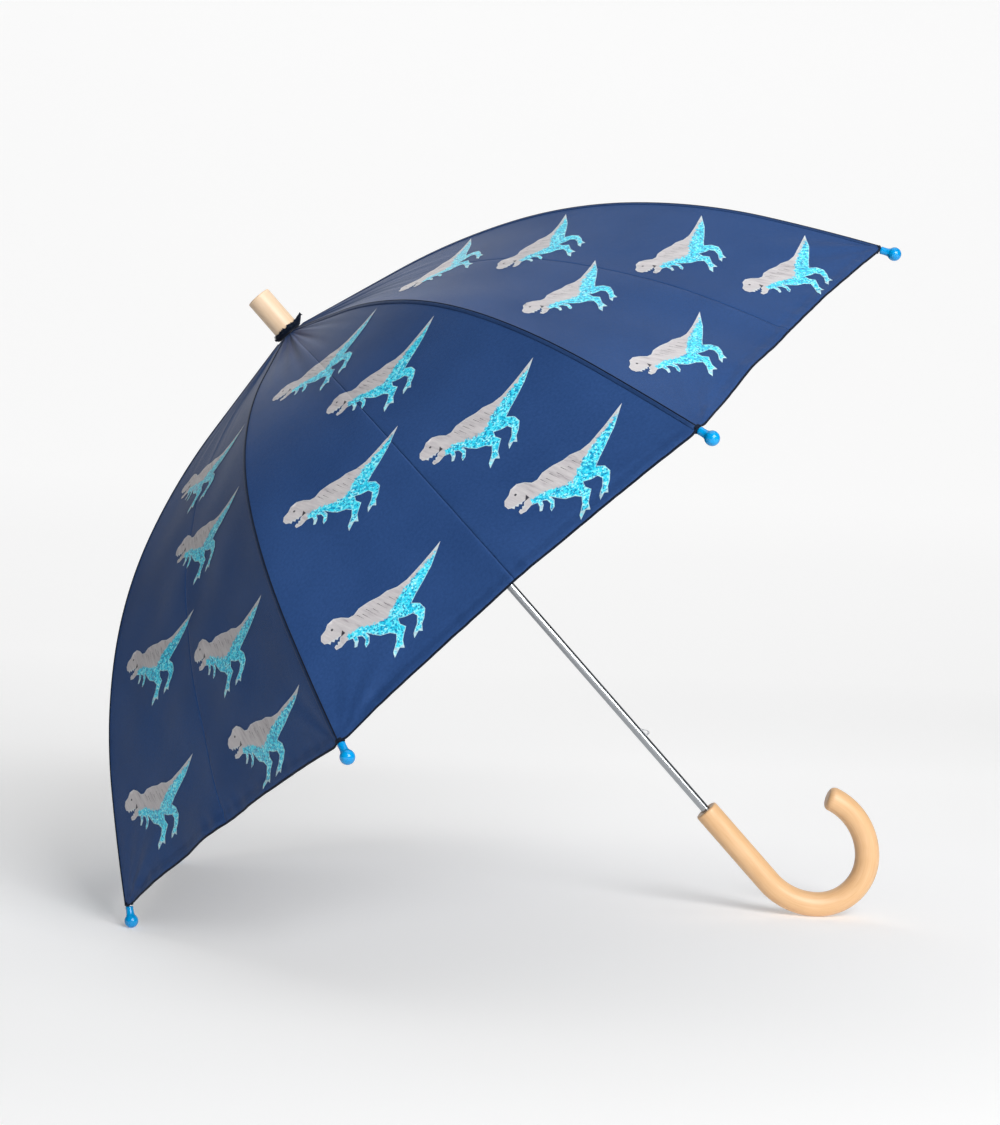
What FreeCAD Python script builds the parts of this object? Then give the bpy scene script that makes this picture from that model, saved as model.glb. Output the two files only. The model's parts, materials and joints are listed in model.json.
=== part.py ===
"""Children's stick umbrella, open, lying on its crook handle and on two rib tips.

Every piece is drawn in the umbrella's own frame: z runs along the shaft towards the
ferrule, x points to the side that the crook curls to, and z = 0 lies on the shaft.
A last Placement tilts all pieces together, so that the umbrella rests on the floor.
"""
import FreeCAD, Part
import math
import os

from FreeCAD import Placement, Rotation, Vector

os.makedirs("parts", exist_ok=True)
doc = FreeCAD.newDocument("childrens_umbrella")
sheet = doc.addObject("Spreadsheet::Sheet", "Sizes")

# ---------------------------------------------------------------- driving sizes (mm, degrees)
DRIVING = {
    # how far a cutting tool reaches past the face that it opens
    "overcut": 1,
    # frame of ribs
    "rib_count": 8,
    "first_rib_azimuth": -157.5,
    "rib_length": 460,
    "hub_height": 377.1,
    "pivot_radius": 6.5,
    "rib_slope": 13.1,
    "bend_shoulder": 11,
    "bend_crown": 16.5,
    "bend_skirt": 13,
    "bend_hem": 3.4,
    "channel_width": 3,
    "channel_half_depth": 1.1,
    "flute_width": 1.8,
    "flute_top": 0.4,
    "channel_start": 8,
    "channel_gap": 0.3,
    "blade_width": 1.2,
    "blade_start": 0.3,
    "blade_end": 16,
    "eye_radius": 1.4,
    "tang_size": 1.6,
    "tang_length": 13,
    "tang_gap": 1.5,
    # stretchers, their lugs and rivets
    "stretcher_reach": 186,
    "lug_drop": 4,
    "lug_width": 1,
    "lug_radius": 1.5,
    "lug_root": 0.3,
    "rivet_radius": 0.8,
    "rivet_clearance": 0.06,
    "rivet_half_length": 1.9,
    "rivet_head_radius": 1.4,
    "rivet_head_height": 0.4,
    "ear_radius": 1.7,
    "fork_reach": 2.4,
    "pivot_setback": 0.9,
    "stretcher_blade": 10,
    "blade_overlap": 6,
    "fold_angle": 55,
    # wire rings and slotted crowns
    "wire_radius": 0.5,
    "wire_clearance": 0.07,
    "wire_seat": 0.02,
    "crown_radius": 8.4,
    "slot_width": 1.7,
    "slot_floor": 0.1,
    "notch_bottom": 374.3,
    "notch_top": 379.2,
    "notch_sleeve_radius": 4.7,
    "notch_sleeve_length": 13,
    "notch_roof": 0.4,
    # rib tips
    "ball_radius": 4.75,
    "neck_radius": 2.6,
    "tip_length": 8.2,
    "tip_bore_radius": 1.2,
    # shaft, handle and ferrule
    "shaft_radius": 3.3,
    "shaft_wall": 0.6,
    "shaft_top": 405,
    "shaft_foot_gap": 2,
    "handle_top": -95,
    "handle_radius": 9.15,
    "handle_straight": 72.6,
    "crook_radius_near": 50.9,
    "crook_turn_near": 48.7,
    "crook_radius_low": 36.7,
    "crook_turn_low": 90,
    "crook_radius_far": 47.9,
    "crook_turn_far": 69,
    "handle_bore_depth": 50,
    "handle_edge_top": 1.6,
    "handle_edge_end": 4.5,
    "groove_width": 0.7,
    "groove_depth": 0.45,
    "groove_azimuth": -55,
    "ferrule_radius": 9.4,
    "ferrule_top": 415,
    "ferrule_base": 380.8,
    "ferrule_edge": 0.9,
    # runner
    "runner_bore_clearance": 0.08,
    "runner_sleeve_radius": 5.2,
    "runner_below": 52,
    "runner_above": 3.5,
    "runner_crown_half": 3.5,
    "runner_flare_radius": 7.6,
    "runner_flare_height": 9,
    "window_width": 2.4,
    "window_length": 13,
    # catch springs and stop pin
    "lower_catch_height": -19.4,
    "catch_width": 1.2,
    "catch_reach": 6.6,
    "catch_length": 9,
    "catch_leg": 24,
    "catch_corner": 0.5,
    "catch_slope_end": 3.4,
    "catch_nose_low": 2.6,
    "catch_nose_high": 1.2,
    "catch_wall": 1.2,
    "catch_eye_low": 1.2,
    "catch_eye_high": 2.9,
    "leaf_back": 1,
    "leaf_front": 2.4,
    "slit_side_gap": 0.2,
    "slit_end_gap": 1.5,
    "stop_pin_radius": 0.75,
    "stop_pin_length": 9.6,
    "stop_pin_gap": 1,
    # cloth
    "cloth_inner": 1.9,
    "cloth_thickness": 0.8,
    "cloth_hub_radius": 9.6,
    "cloth_end_gap": 8.4,
    "cloth_side_gap": 0.15,
    "rosette_radius": 13.4,
    "rosette_notch": 1.5,
    "rosette_teeth": 26,
    "rosette_thickness": 1,
    "inner_rosette_thickness": 0.5,
    "strap_width": 14,
    "strap_thickness": 0.8,
    "strap_length": 120,
    "strap_end": 34,
    "strap_side": 3.5,
    "strap_gap": 0.05,
    "snap_radius": 5,
    "snap_height": 1.4,
    "snap_gap": 0.2,
    "snap_inset": 10,
}
for row, (alias, value) in enumerate(DRIVING.items(), start=1):
    sheet.set("A%d" % row, alias)
    sheet.set("B%d" % row, str(value))
    sheet.setAlias("B%d" % row, alias)
doc.recompute()


def size(alias):
    """A driving size, read back from the spreadsheet."""
    return float(sheet.get(alias))


# ---------------------------------------------------------------- geometry of one rib
RIBS = int(size("rib_count"))
AZIMUTHS = [size("first_rib_azimuth") + 360.0 / RIBS * i for i in range(RIBS)]
HALF_GORE = math.radians(180.0 / RIBS)
HINGE = (size("pivot_radius"), size("hub_height"))
BENDS = ("bend_shoulder", "bend_crown", "bend_skirt", "bend_hem")
SPAN = size("rib_length") / (len(BENDS) + 1)
# slope below the horizontal where each fifth of the rib starts, and at its end
SLOPES = [size("rib_slope"), size("rib_slope")]
for bend in BENDS:
    SLOPES.append(SLOPES[-1] + size(bend))


def rib_point(along, above=0.0):
    """Point (radius, height) at a distance along the rib and a distance above its centre line."""
    radius, height = HINGE
    left = along
    for number in range(len(BENDS) + 1):
        start = math.radians(SLOPES[number])
        turn = math.radians(SLOPES[number + 1]) - start
        length = SPAN
        if number == len(BENDS) or left < SPAN:
            length = left
        slope = start + turn * length / SPAN
        if turn == 0:
            radius += length * math.cos(start)
            height -= length * math.sin(start)
        else:
            bend_radius = SPAN / turn
            radius += bend_radius * (math.sin(slope) - math.sin(start))
            height -= bend_radius * (math.cos(start) - math.cos(slope))
        left -= length
        if left <= 0:
            break
    return (radius + above * math.sin(slope), height + above * math.cos(slope)), slope


def rib_edges(start, end, above):
    """Lines and arcs that follow the rib from start to end, at a distance above its centre line."""
    cuts = [start]
    cuts += [SPAN * n for n in range(1, len(BENDS) + 1) if start < SPAN * n < end]
    cuts.append(end)
    edges = []
    for a, b in zip(cuts, cuts[1:]):
        first = Vector(*rib_point(a, above)[0], 0)
        last = Vector(*rib_point(b, above)[0], 0)
        if b <= SPAN:
            edges.append(Part.LineSegment(first, last))
        else:
            middle = Vector(*rib_point((a + b) / 2, above)[0], 0)
            edges.append(Part.Arc(first, middle, last))
    return edges


def strip(start, end, top, bottom):
    """Closed outline of a strip that follows the rib."""
    ends = []
    for at in (start, end):
        high = Vector(*rib_point(at, top)[0], 0)
        low = Vector(*rib_point(at, bottom)[0], 0)
        ends.append(Part.LineSegment(high, low))
    return rib_edges(start, end, top) + rib_edges(start, end, bottom) + ends


# The lug hangs below the rib. Hub, lug and runner make a triangle with two equal sides.
LUG, _ = rib_point(size("stretcher_reach"), -size("lug_drop"))
ARM = math.hypot(LUG[0] - HINGE[0], HINGE[1] - LUG[1])
OPEN_ANGLE = math.acos((HINGE[1] - LUG[1]) / ARM)
CLOSED_ANGLE = OPEN_ANGLE - math.radians(size("fold_angle"))
RUNNER_OPEN = HINGE[1] - 2 * ARM * math.cos(OPEN_ANGLE)
RUNNER_CLOSED = HINGE[1] - 2 * ARM * math.cos(CLOSED_ANGLE)
RUNNER_TRAVEL = RUNNER_OPEN - RUNNER_CLOSED
UPPER_CATCH = size("lower_catch_height") + RUNNER_TRAVEL
(TIP_RADIUS, TIP_HEIGHT), TIP_SLOPE = rib_point(size("rib_length"))

# The floor touches the balls of the two lowest ribs and the crook, so its normal follows
# from the common tangent of two circles: the ball's and the crook's outer one.
BALL_X = -TIP_RADIUS * math.cos(HALF_GORE)
CROOK_X = size("crook_radius_near")
CROOK_Z = size("handle_top") - size("handle_straight")
between = math.hypot(CROOK_X - BALL_X, CROOK_Z - TIP_HEIGHT)
drop = CROOK_X + size("handle_radius") - size("ball_radius")
LEAN = math.atan2(CROOK_Z - TIP_HEIGHT, CROOK_X - BALL_X) + math.acos(drop / between)


# ---------------------------------------------------------------- helpers
def add(kind, label, sizes, at=(0, 0, 0), turn=None):
    """A primitive whose sizes are formulas on the spreadsheet."""
    piece = doc.addObject(kind, label)
    for name, formula in sizes.items():
        piece.setExpression(name, formula)
    piece.Placement = Placement(Vector(*at), turn or Rotation())
    return piece


def cylinder(label, radius, height, at=(0, 0, 0), turn=None):
    return add("Part::Cylinder", label, {"Radius": radius, "Height": height}, at, turn)


def ring(label, ring_radius, wire_radius, at):
    return add("Part::Torus", label, {"Radius1": ring_radius, "Radius2": wire_radius}, at)


def fuse(label, pieces):
    joined = doc.addObject("Part::MultiFuse", label)
    joined.Shapes = pieces
    return joined


def cut(label, base, tools):
    tool = tools[0]
    if len(tools) > 1:
        tool = fuse(label + "_tools", tools)
    result = doc.addObject("Part::Cut", label)
    result.Base = base
    result.Tool = tool
    return result


def about_z(degrees):
    return Rotation(Vector(0, 0, 1), degrees)


def radial_slots(label, low, height_formula, sleeve_radius):
    """One narrow box per rib, from just outside a sleeve outwards, open at the rim."""
    slots = []
    inner_radius = sleeve_radius + size("slot_floor")
    for number, azimuth in enumerate(AZIMUTHS, start=1):
        turn = about_z(azimuth)
        corner = turn.multVec(Vector(inner_radius, -size("slot_width") / 2, low))
        sizes = {"Length": "Sizes.crown_radius", "Width": "Sizes.slot_width", "Height": height_formula}
        slots.append(add("Part::Box", "%s_%d" % (label, number), sizes, tuple(corner), turn))
    return slots


def plane_of(body, role):
    return next(item for item in body.Origin.OriginFeatures if item.Role == role)


def sketch(body, name, outline, role="XZ_Plane", offset=None):
    """A sketch on an origin plane of its own body, its loose ends joined."""
    drawing = body.newObject("Sketcher::SketchObject", name)
    drawing.AttachmentSupport = (plane_of(body, role), [""])
    drawing.MapMode = "FlatFace"
    if offset:
        drawing.AttachmentOffset = offset
    drawing.addGeometry(outline, False)
    return drawing


def pad(body, name, outline, width):
    """A plate of constant width, half on each side of the rib's plane."""
    plate = body.newObject("PartDesign::Pad", name)
    plate.Profile = sketch(body, name + "_sketch", outline)
    plate.SideType = "Symmetric"
    plate.setExpression("Length", width)
    return plate


def pocket(body, name, outline, width):
    groove = body.newObject("PartDesign::Pocket", name)
    groove.Profile = sketch(body, name + "_sketch", outline)
    groove.SideType = "Symmetric"
    groove.setExpression("Length", width)
    return groove


def circle(centre, radius):
    return Part.Circle(Vector(centre[0], centre[1], 0), Vector(0, 0, 1), radius)


def polygon(points):
    corners = [Vector(x, y, 0) for x, y in points]
    return [Part.LineSegment(a, b) for a, b in zip(corners, corners[1:] + corners[:1])]


def along_plate(start, end, half_height, origin, direction):
    """Corners of a straight plate outline: start and end lie along a unit direction."""
    ux, uy = direction
    corners = []
    sides = ((start, half_height), (end, half_height), (end, -half_height), (start, -half_height))
    for along, across in sides:
        corners.append((origin[0] + ux * along - uy * across, origin[1] + uy * along + ux * across))
    return corners


# ---------------------------------------------------------------- sub-parts on the shaft
def make_shaft_tube():
    """Rolled steel tube with a lengthwise groove and a slit for each catch spring."""
    bottom = size("handle_top") - size("handle_bore_depth") + size("shaft_foot_gap")
    tube_length = "Sizes.shaft_top - (%r)" % bottom
    tube = cylinder("shaft_outside", "Sizes.shaft_radius", tube_length, (0, 0, bottom))
    inside = cylinder(
        "shaft_inside",
        "Sizes.shaft_radius - Sizes.shaft_wall",
        tube_length + " + Sizes.overcut * 2",
        (0, 0, bottom - size("overcut")),
    )
    turn = about_z(size("groove_azimuth"))
    groove_floor = size("shaft_radius") - size("groove_depth")
    corner = turn.multVec(Vector(groove_floor, -size("groove_width") / 2, bottom - size("overcut")))
    groove = add(
        "Part::Box",
        "shaft_groove",
        {
            "Length": "Sizes.groove_depth * 3",
            "Width": "Sizes.groove_width",
            "Height": tube_length + " + Sizes.overcut * 2",
        },
        tuple(corner),
        turn,
    )
    cuts = [inside, groove]
    slit = {
        "Length": "Sizes.shaft_radius * 2",
        "Width": "Sizes.catch_width + Sizes.slit_side_gap * 2",
        "Height": "Sizes.catch_length + Sizes.slit_end_gap * 2",
    }
    slit_side = size("catch_width") / 2 + size("slit_side_gap")
    slit_half = size("catch_length") / 2 + size("slit_end_gap")
    for name, height in (("upper", UPPER_CATCH), ("lower", size("lower_catch_height"))):
        corner = (size("shaft_radius") / 2, -slit_side, height - slit_half)
        cuts.append(add("Part::Box", name + "_slit", slit, corner))
    pin_at = RUNNER_OPEN + size("runner_above") + size("stop_pin_gap") + size("stop_pin_radius")
    across = Rotation(Vector(1, 0, 0), 90)
    hole_start = (0, 2 * size("shaft_radius"), pin_at)
    cuts.append(cylinder("pin_hole", "Sizes.stop_pin_radius", "Sizes.shaft_radius * 4", hole_start, across))
    cut("shaft_tube", tube, cuts)
    half = size("stop_pin_length") / 2
    cylinder("stop_pin", "Sizes.stop_pin_radius", "Sizes.stop_pin_length", (0, half, pin_at), across)


def make_catch(name, height, shoulder_up):
    """Flat spring inside the tube with a loop that sticks out of the slit."""
    body = doc.addObject("PartDesign::Body", name)
    reach = size("catch_reach")
    half = size("catch_length") / 2
    up = 1 if shoulder_up else -1
    back = size("leaf_back")
    front = size("leaf_front")
    corner = size("catch_corner")
    loop = [
        (back, height - up * size("catch_leg")),
        (front, height - up * size("catch_leg")),
        (front, height - up * half),
        (reach - corner, height + up * (half - size("catch_slope_end"))),
        (reach, height + up * (half - size("catch_nose_low"))),
        (reach, height + up * (half - size("catch_nose_high"))),
        (reach - corner, height + up * (half - corner)),
        (front, height + up * half),
        (back, height + up * half),
    ]
    pad(body, name + "_leaf", polygon(loop), "Sizes.catch_width")
    wall = size("catch_wall")
    eye = [
        (front + wall, height - up * size("catch_eye_low")),
        (reach - wall, height + up * size("catch_eye_low")),
        (reach - wall, height + up * size("catch_eye_high")),
        (front + wall, height + up * size("catch_eye_high")),
    ]
    pocket(body, name + "_eye", polygon(eye), "Sizes.catch_width * 3")


def crook_path():
    """Centre line of the handle: a straight grip and three tangent arcs."""
    heading = -math.pi / 2
    at = Vector(0, size("handle_top") - size("handle_straight"), 0)
    edges = [Part.LineSegment(Vector(0, size("handle_top"), 0), at)]
    for part_name in ("near", "low", "far"):
        radius = size("crook_radius_" + part_name)
        turn = math.radians(size("crook_turn_" + part_name))
        centre = at + Vector(-math.sin(heading), math.cos(heading), 0) * radius
        stops = []
        for share in (0.5, 1.0):
            angle = heading + turn * share
            stops.append(centre - Vector(-math.sin(angle), math.cos(angle), 0) * radius)
        edges.append(Part.Arc(at, stops[0], stops[1]))
        at = stops[1]
        heading += turn
    return edges, at


def make_handle():
    """Turned wooden stick bent to a crook, with a blind bore for the shaft."""
    body = doc.addObject("PartDesign::Body", "wooden_handle")
    path, end = crook_path()
    spine = sketch(body, "crook_path", path)
    at_top = Placement(Vector(0, 0, size("handle_top")), Rotation())
    profile = sketch(body, "grip_circle", [circle((0, 0), size("handle_radius"))], "XY_Plane", at_top)
    stick = body.newObject("PartDesign::AdditivePipe", "crook")
    stick.Profile = profile
    stick.Spine = (spine, [])
    doc.recompute()
    bore = body.newObject("PartDesign::Pocket", "handle_bore")
    bore.Profile = sketch(body, "bore_circle", [circle((0, 0), size("shaft_radius"))], "XY_Plane", at_top)
    bore.setExpression("Length", "Sizes.handle_bore_depth")
    doc.recompute()
    base = bore
    for rim, centre in (("top", Vector(0, size("handle_top"), 0)), ("end", end)):
        edge_round = body.newObject("PartDesign::Fillet", "handle_round_" + rim)
        edge_round.Base = (base, [rim_edge(base.Shape, centre)])
        edge_round.setExpression("Radius", "Sizes.handle_edge_" + rim)
        base = edge_round
        doc.recompute()


def rim_edge(shape, centre):
    """Name of the handle's full-circle edge around a point of its centre line."""
    around = 2 * math.pi * size("handle_radius")
    for number, edge in enumerate(shape.Edges, start=1):
        middle = edge.BoundBox.Center
        is_near = math.hypot(middle.x - centre.x, middle.z - centre.y) < 0.5
        if is_near and abs(edge.Length - around) < 0.1:
            return "Edge%d" % number
    raise RuntimeError("no rim edge near %s" % centre)


def make_ferrule():
    """Plain wooden peg above the cloth, bored for the end of the shaft."""
    base = size("ferrule_base")
    peg = cylinder("peg", "Sizes.ferrule_radius", "Sizes.ferrule_top - Sizes.ferrule_base", (0, 0, base))
    bore_length = "Sizes.shaft_top - Sizes.ferrule_base + Sizes.overcut"
    bore = cylinder("peg_bore", "Sizes.shaft_radius", bore_length, (0, 0, base - size("overcut")))
    bored = cut("bored_peg", peg, [bore])
    doc.recompute()
    ferrule = doc.addObject("Part::Fillet", "wooden_ferrule")
    ferrule.Base = bored
    edge_size = size("ferrule_edge")
    rims = []
    for number, edge in enumerate(bored.Shape.Edges, start=1):
        is_rim = abs(edge.Length - 2 * math.pi * size("ferrule_radius")) < 0.01
        if is_rim and abs(edge.BoundBox.Center.z - size("ferrule_top")) < 0.01:
            rims.append((number, edge_size, edge_size))
    ferrule.Edges = rims


def make_notch():
    """Slotted crown fixed at the top of the shaft, with the wire that all ribs hang on."""
    bottom = size("notch_bottom")
    top = size("notch_top")
    hub = (0, 0, size("hub_height"))
    crown_height = "Sizes.notch_top - Sizes.notch_bottom"
    lobes = cylinder("notch_lobes", "Sizes.crown_radius", crown_height, (0, 0, bottom))
    low = top - size("notch_sleeve_length")
    sleeve = cylinder("notch_sleeve", "Sizes.notch_sleeve_radius", "Sizes.notch_sleeve_length", (0, 0, low))
    bore_length = "Sizes.notch_sleeve_length + Sizes.overcut * 2"
    bore = cylinder("notch_bore", "Sizes.shaft_radius", bore_length, (0, 0, low - size("overcut")))
    groove = ring("notch_groove", "Sizes.pivot_radius", "Sizes.wire_radius + Sizes.wire_seat", hub)
    slot_height = crown_height + " - Sizes.notch_roof + Sizes.overcut"
    slots_low = bottom - size("overcut")
    slots = radial_slots("notch_slot", slots_low, slot_height, size("notch_sleeve_radius"))
    cut("top_notch", fuse("notch_blank", [lobes, sleeve]), [bore, groove] + slots)
    ring("notch_wire", "Sizes.pivot_radius", "Sizes.wire_radius", hub)


def make_rosettes():
    """Two cloth washers: a plain one on the notch and a pinked one under the ferrule."""
    low = size("notch_top")
    washer = cylinder("inner_washer", "Sizes.crown_radius", "Sizes.inner_rosette_thickness", (0, 0, low))
    hole_length = "Sizes.inner_rosette_thickness + Sizes.overcut * 2"
    hole = cylinder("inner_hole", "Sizes.shaft_radius", hole_length, (0, 0, low - size("overcut")))
    cut("inner_rosette", washer, [hole])
    body = doc.addObject("PartDesign::Body", "outer_rosette")
    teeth = int(size("rosette_teeth"))
    outline = []
    for corner in range(2 * teeth):
        radius = size("rosette_radius") - (corner % 2) * size("rosette_notch")
        angle = math.pi * corner / teeth
        outline.append((radius * math.cos(angle), radius * math.sin(angle)))
    under_ferrule = Placement(Vector(0, 0, size("ferrule_base") - size("rosette_thickness")), Rotation())
    rim_and_hole = polygon(outline) + [circle((0, 0), size("shaft_radius"))]
    disc = body.newObject("PartDesign::Pad", "pinked_disc")
    disc.Profile = sketch(body, "pinked_outline", rim_and_hole, "XY_Plane", under_ferrule)
    disc.setExpression("Length", "Sizes.rosette_thickness")


def make_runner():
    """Slotted crown on a sliding sleeve, with a window that the catch springs snap into."""
    pivot = RUNNER_OPEN
    low = pivot - size("runner_below")
    crown = cylinder(
        "runner_crown",
        "Sizes.crown_radius",
        "Sizes.runner_crown_half * 2",
        (0, 0, pivot - size("runner_crown_half")),
    )
    sleeve_length = "Sizes.runner_below + Sizes.runner_above"
    sleeve = cylinder("runner_sleeve", "Sizes.runner_sleeve_radius", sleeve_length, (0, 0, low))
    flare = add(
        "Part::Cone",
        "runner_flare",
        {
            "Radius1": "Sizes.runner_flare_radius",
            "Radius2": "Sizes.runner_sleeve_radius",
            "Height": "Sizes.runner_flare_height",
        },
        (0, 0, low),
    )
    bore = cylinder(
        "runner_bore",
        "Sizes.shaft_radius + Sizes.runner_bore_clearance",
        sleeve_length + " + Sizes.overcut * 2",
        (0, 0, low - size("overcut")),
    )
    window = add(
        "Part::Box",
        "runner_window",
        {"Length": "Sizes.crown_radius", "Width": "Sizes.window_width", "Height": "Sizes.window_length"},
        (size("shaft_radius") / 2, -size("window_width") / 2, UPPER_CATCH - size("window_length") / 2),
    )
    crown_low = pivot - size("runner_crown_half") - size("overcut")
    crown_height = "Sizes.runner_crown_half * 2 + Sizes.overcut * 2"
    slots = radial_slots("runner_slot", crown_low, crown_height, size("runner_sleeve_radius"))
    at = (0, 0, pivot)
    groove = ring("runner_groove", "Sizes.pivot_radius", "Sizes.wire_radius + Sizes.wire_seat", at)
    cut("runner", fuse("runner_blank", [crown, sleeve, flare]), [bore, window, groove] + slots)
    wire = ring("runner_wire_ring", "Sizes.pivot_radius", "Sizes.wire_radius", at)
    gaps = radial_slots("wire_gap", crown_low, crown_height, size("runner_sleeve_radius"))
    cut("runner_wire", wire, gaps)


# ---------------------------------------------------------------- sub-parts of one rib
def make_rib(number):
    """Fluted steel rib: hub blade with its eye, channel, lug for the stretcher and tang for the tip."""
    body = doc.addObject("PartDesign::Body", "rib_%d" % number)
    length = size("rib_length")
    deep = size("channel_half_depth")
    past = 2 * size("overcut")
    end = length - size("tip_length") - size("channel_gap")
    pad(body, "channel", strip(size("channel_start"), end, deep, -deep), "Sizes.channel_width")
    flute = strip(size("channel_start") - past, end + past, size("flute_top"), -deep - past)
    pocket(body, "flute", flute, "Sizes.flute_width")
    pad(body, "hub_blade", strip(size("blade_start"), size("blade_end"), deep, -deep), "Sizes.blade_width")
    pad(body, "hub_eye", [circle(HINGE, size("eye_radius"))], "Sizes.blade_width")
    eye_hole = [circle(HINGE, size("wire_radius") + size("wire_clearance"))]
    pocket(body, "hub_eye_hole", eye_hole, "Sizes.blade_width * 3")
    root = rib_point(size("stretcher_reach"), size("flute_top") + size("lug_root"))[0]
    outward = (root[0] - LUG[0], root[1] - LUG[1])
    reach = math.hypot(*outward)
    unit = (outward[0] / reach, outward[1] / reach)
    lug_sides = along_plate(0, reach, size("lug_radius"), LUG, unit)
    pad(body, "lug", polygon(lug_sides), "Sizes.lug_width")
    pad(body, "lug_end", [circle(LUG, size("lug_radius"))], "Sizes.lug_width")
    pocket(body, "lug_hole", [circle(LUG, size("rivet_radius"))], "Sizes.lug_width * 3")
    half = size("tang_size") / 2
    tang = strip(length - size("tang_length"), length - size("tang_gap"), half, -half)
    pad(body, "tang", tang, "Sizes.tang_size")
    return body


def make_tip(number):
    """Moulded cap: a ball on a short neck, pressed onto the tang."""
    out = (math.cos(TIP_SLOPE), -math.sin(TIP_SLOPE))
    stand = Rotation(Vector(0, 0, 1), Vector(out[0], 0, out[1]))
    centre = (TIP_RADIUS, 0, TIP_HEIGHT)
    foot = (TIP_RADIUS - out[0] * size("tip_length"), 0, TIP_HEIGHT - out[1] * size("tip_length"))
    ball = add("Part::Sphere", "ball_%d" % number, {"Radius": "Sizes.ball_radius"}, centre)
    neck = cylinder("neck_%d" % number, "Sizes.neck_radius", "Sizes.tip_length", foot, stand)
    bore = cylinder("tip_bore_%d" % number, "Sizes.tip_bore_radius", "Sizes.tip_length", foot, stand)
    return cut("rib_tip_%d" % number, fuse("tip_blank_%d" % number, [ball, neck]), [bore])


def make_rivet(number):
    """Headed pin through the lug and the stretcher's fork."""
    half = size("rivet_half_length")
    head = size("rivet_head_height")
    across = Rotation(Vector(1, 0, 0), 90)
    pin_start = (LUG[0], half, LUG[1])
    pin = cylinder(
        "rivet_pin_%d" % number, "Sizes.rivet_radius", "Sizes.rivet_half_length * 2", pin_start, across
    )
    heads = []
    for side, start in (("left", half + head), ("right", -half)):
        heads.append(
            cylinder(
                "rivet_head_%s_%d" % (side, number),
                "Sizes.rivet_head_radius",
                "Sizes.rivet_head_height",
                (LUG[0], start, LUG[1]),
                across,
            )
        )
    return fuse("stretcher_rivet_%d" % number, [pin] + heads)


def make_stretcher(number):
    """Fluted steel strut: a fork at the lug and a thin blade in the runner's slot."""
    body = doc.addObject("PartDesign::Body", "stretcher_%d" % number)
    foot = (size("pivot_radius"), RUNNER_OPEN)
    unit = ((LUG[0] - foot[0]) / ARM, (LUG[1] - foot[1]) / ARM)
    deep = size("channel_half_depth")
    channel = along_plate(size("stretcher_blade"), ARM, deep, foot, unit)
    pad(body, "channel", polygon(channel), "Sizes.channel_width")
    flute_start = size("stretcher_blade") - size("overcut")
    flute_end = ARM + size("overcut")
    corners = along_plate(flute_start, flute_end, deep + size("overcut"), foot, unit)
    floor = along_plate(flute_start, flute_end, -size("flute_top"), foot, unit)
    pocket(body, "flute", polygon([corners[0], corners[1], floor[1], floor[0]]), "Sizes.flute_width")
    pad(body, "fork_ears", [circle(LUG, size("ear_radius"))], "Sizes.channel_width")
    blade_end = size("stretcher_blade") + size("blade_overlap")
    blade = along_plate(size("pivot_setback"), blade_end, deep, foot, unit)
    pad(body, "runner_blade", polygon(blade), "Sizes.blade_width")
    gap = along_plate(ARM - size("fork_reach"), ARM + size("fork_reach"), size("fork_reach"), foot, unit)
    pocket(body, "fork_gap", polygon(gap), "Sizes.flute_width")
    clear = size("rivet_radius") + size("rivet_clearance")
    pocket(body, "fork_holes", [circle(LUG, clear)], "Sizes.channel_width * 2")
    return body


PROFILE_STEPS = 14


def gore_slab(start, end, low, high, side_from, side_to):
    """Slab that follows the gore: its profile in the gore's middle plane, pushed along the chord.

    Chords between two ribs are straight, so the middle profile is the rib's, narrowed by the
    cosine of half a gore. side_from and side_to are distances from the middle plane.
    """
    narrow = math.cos(HALF_GORE)
    lines = []
    for above in (low, high):
        points = []
        for step in range(PROFILE_STEPS + 1):
            (radius, height), _ = rib_point(start + (end - start) * step / PROFILE_STEPS, above)
            points.append(Vector(radius * narrow, side_from, height))
        curve = Part.BSplineCurve()
        curve.interpolate(points)
        lines.append((curve.toShape(), points))
    ends = [Part.makeLine(lines[0][1][i], lines[1][1][i]) for i in (0, -1)]
    outline = Part.Wire([lines[0][0], ends[1], lines[1][0], ends[0]])
    return Part.Face(outline).extrude(Vector(0, side_to - side_from, 0))


def make_panel_shape():
    """Cloth of one rib: half a gore on each side, from the hub to the hem."""
    inner = size("cloth_inner")
    outer = inner + size("cloth_thickness")
    start = (size("cloth_hub_radius") - HINGE[0]) / math.cos(math.radians(size("rib_slope")))
    end = size("rib_length") - size("cloth_end_gap")
    half = gore_slab(start, end, inner, outer, -TIP_RADIUS, -size("cloth_side_gap"))
    half.rotate(Vector(), Vector(0, 0, 1), math.degrees(HALF_GORE))
    other_side = Part.makeBox(2 * TIP_RADIUS, TIP_RADIUS * 2, 2 * TIP_RADIUS, Vector(0, -2 * TIP_RADIUS, 0))
    half = half.cut(other_side)
    return half.fuse(half.mirror(Vector(), Vector(0, 1, 0))).removeSplitter()


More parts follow.
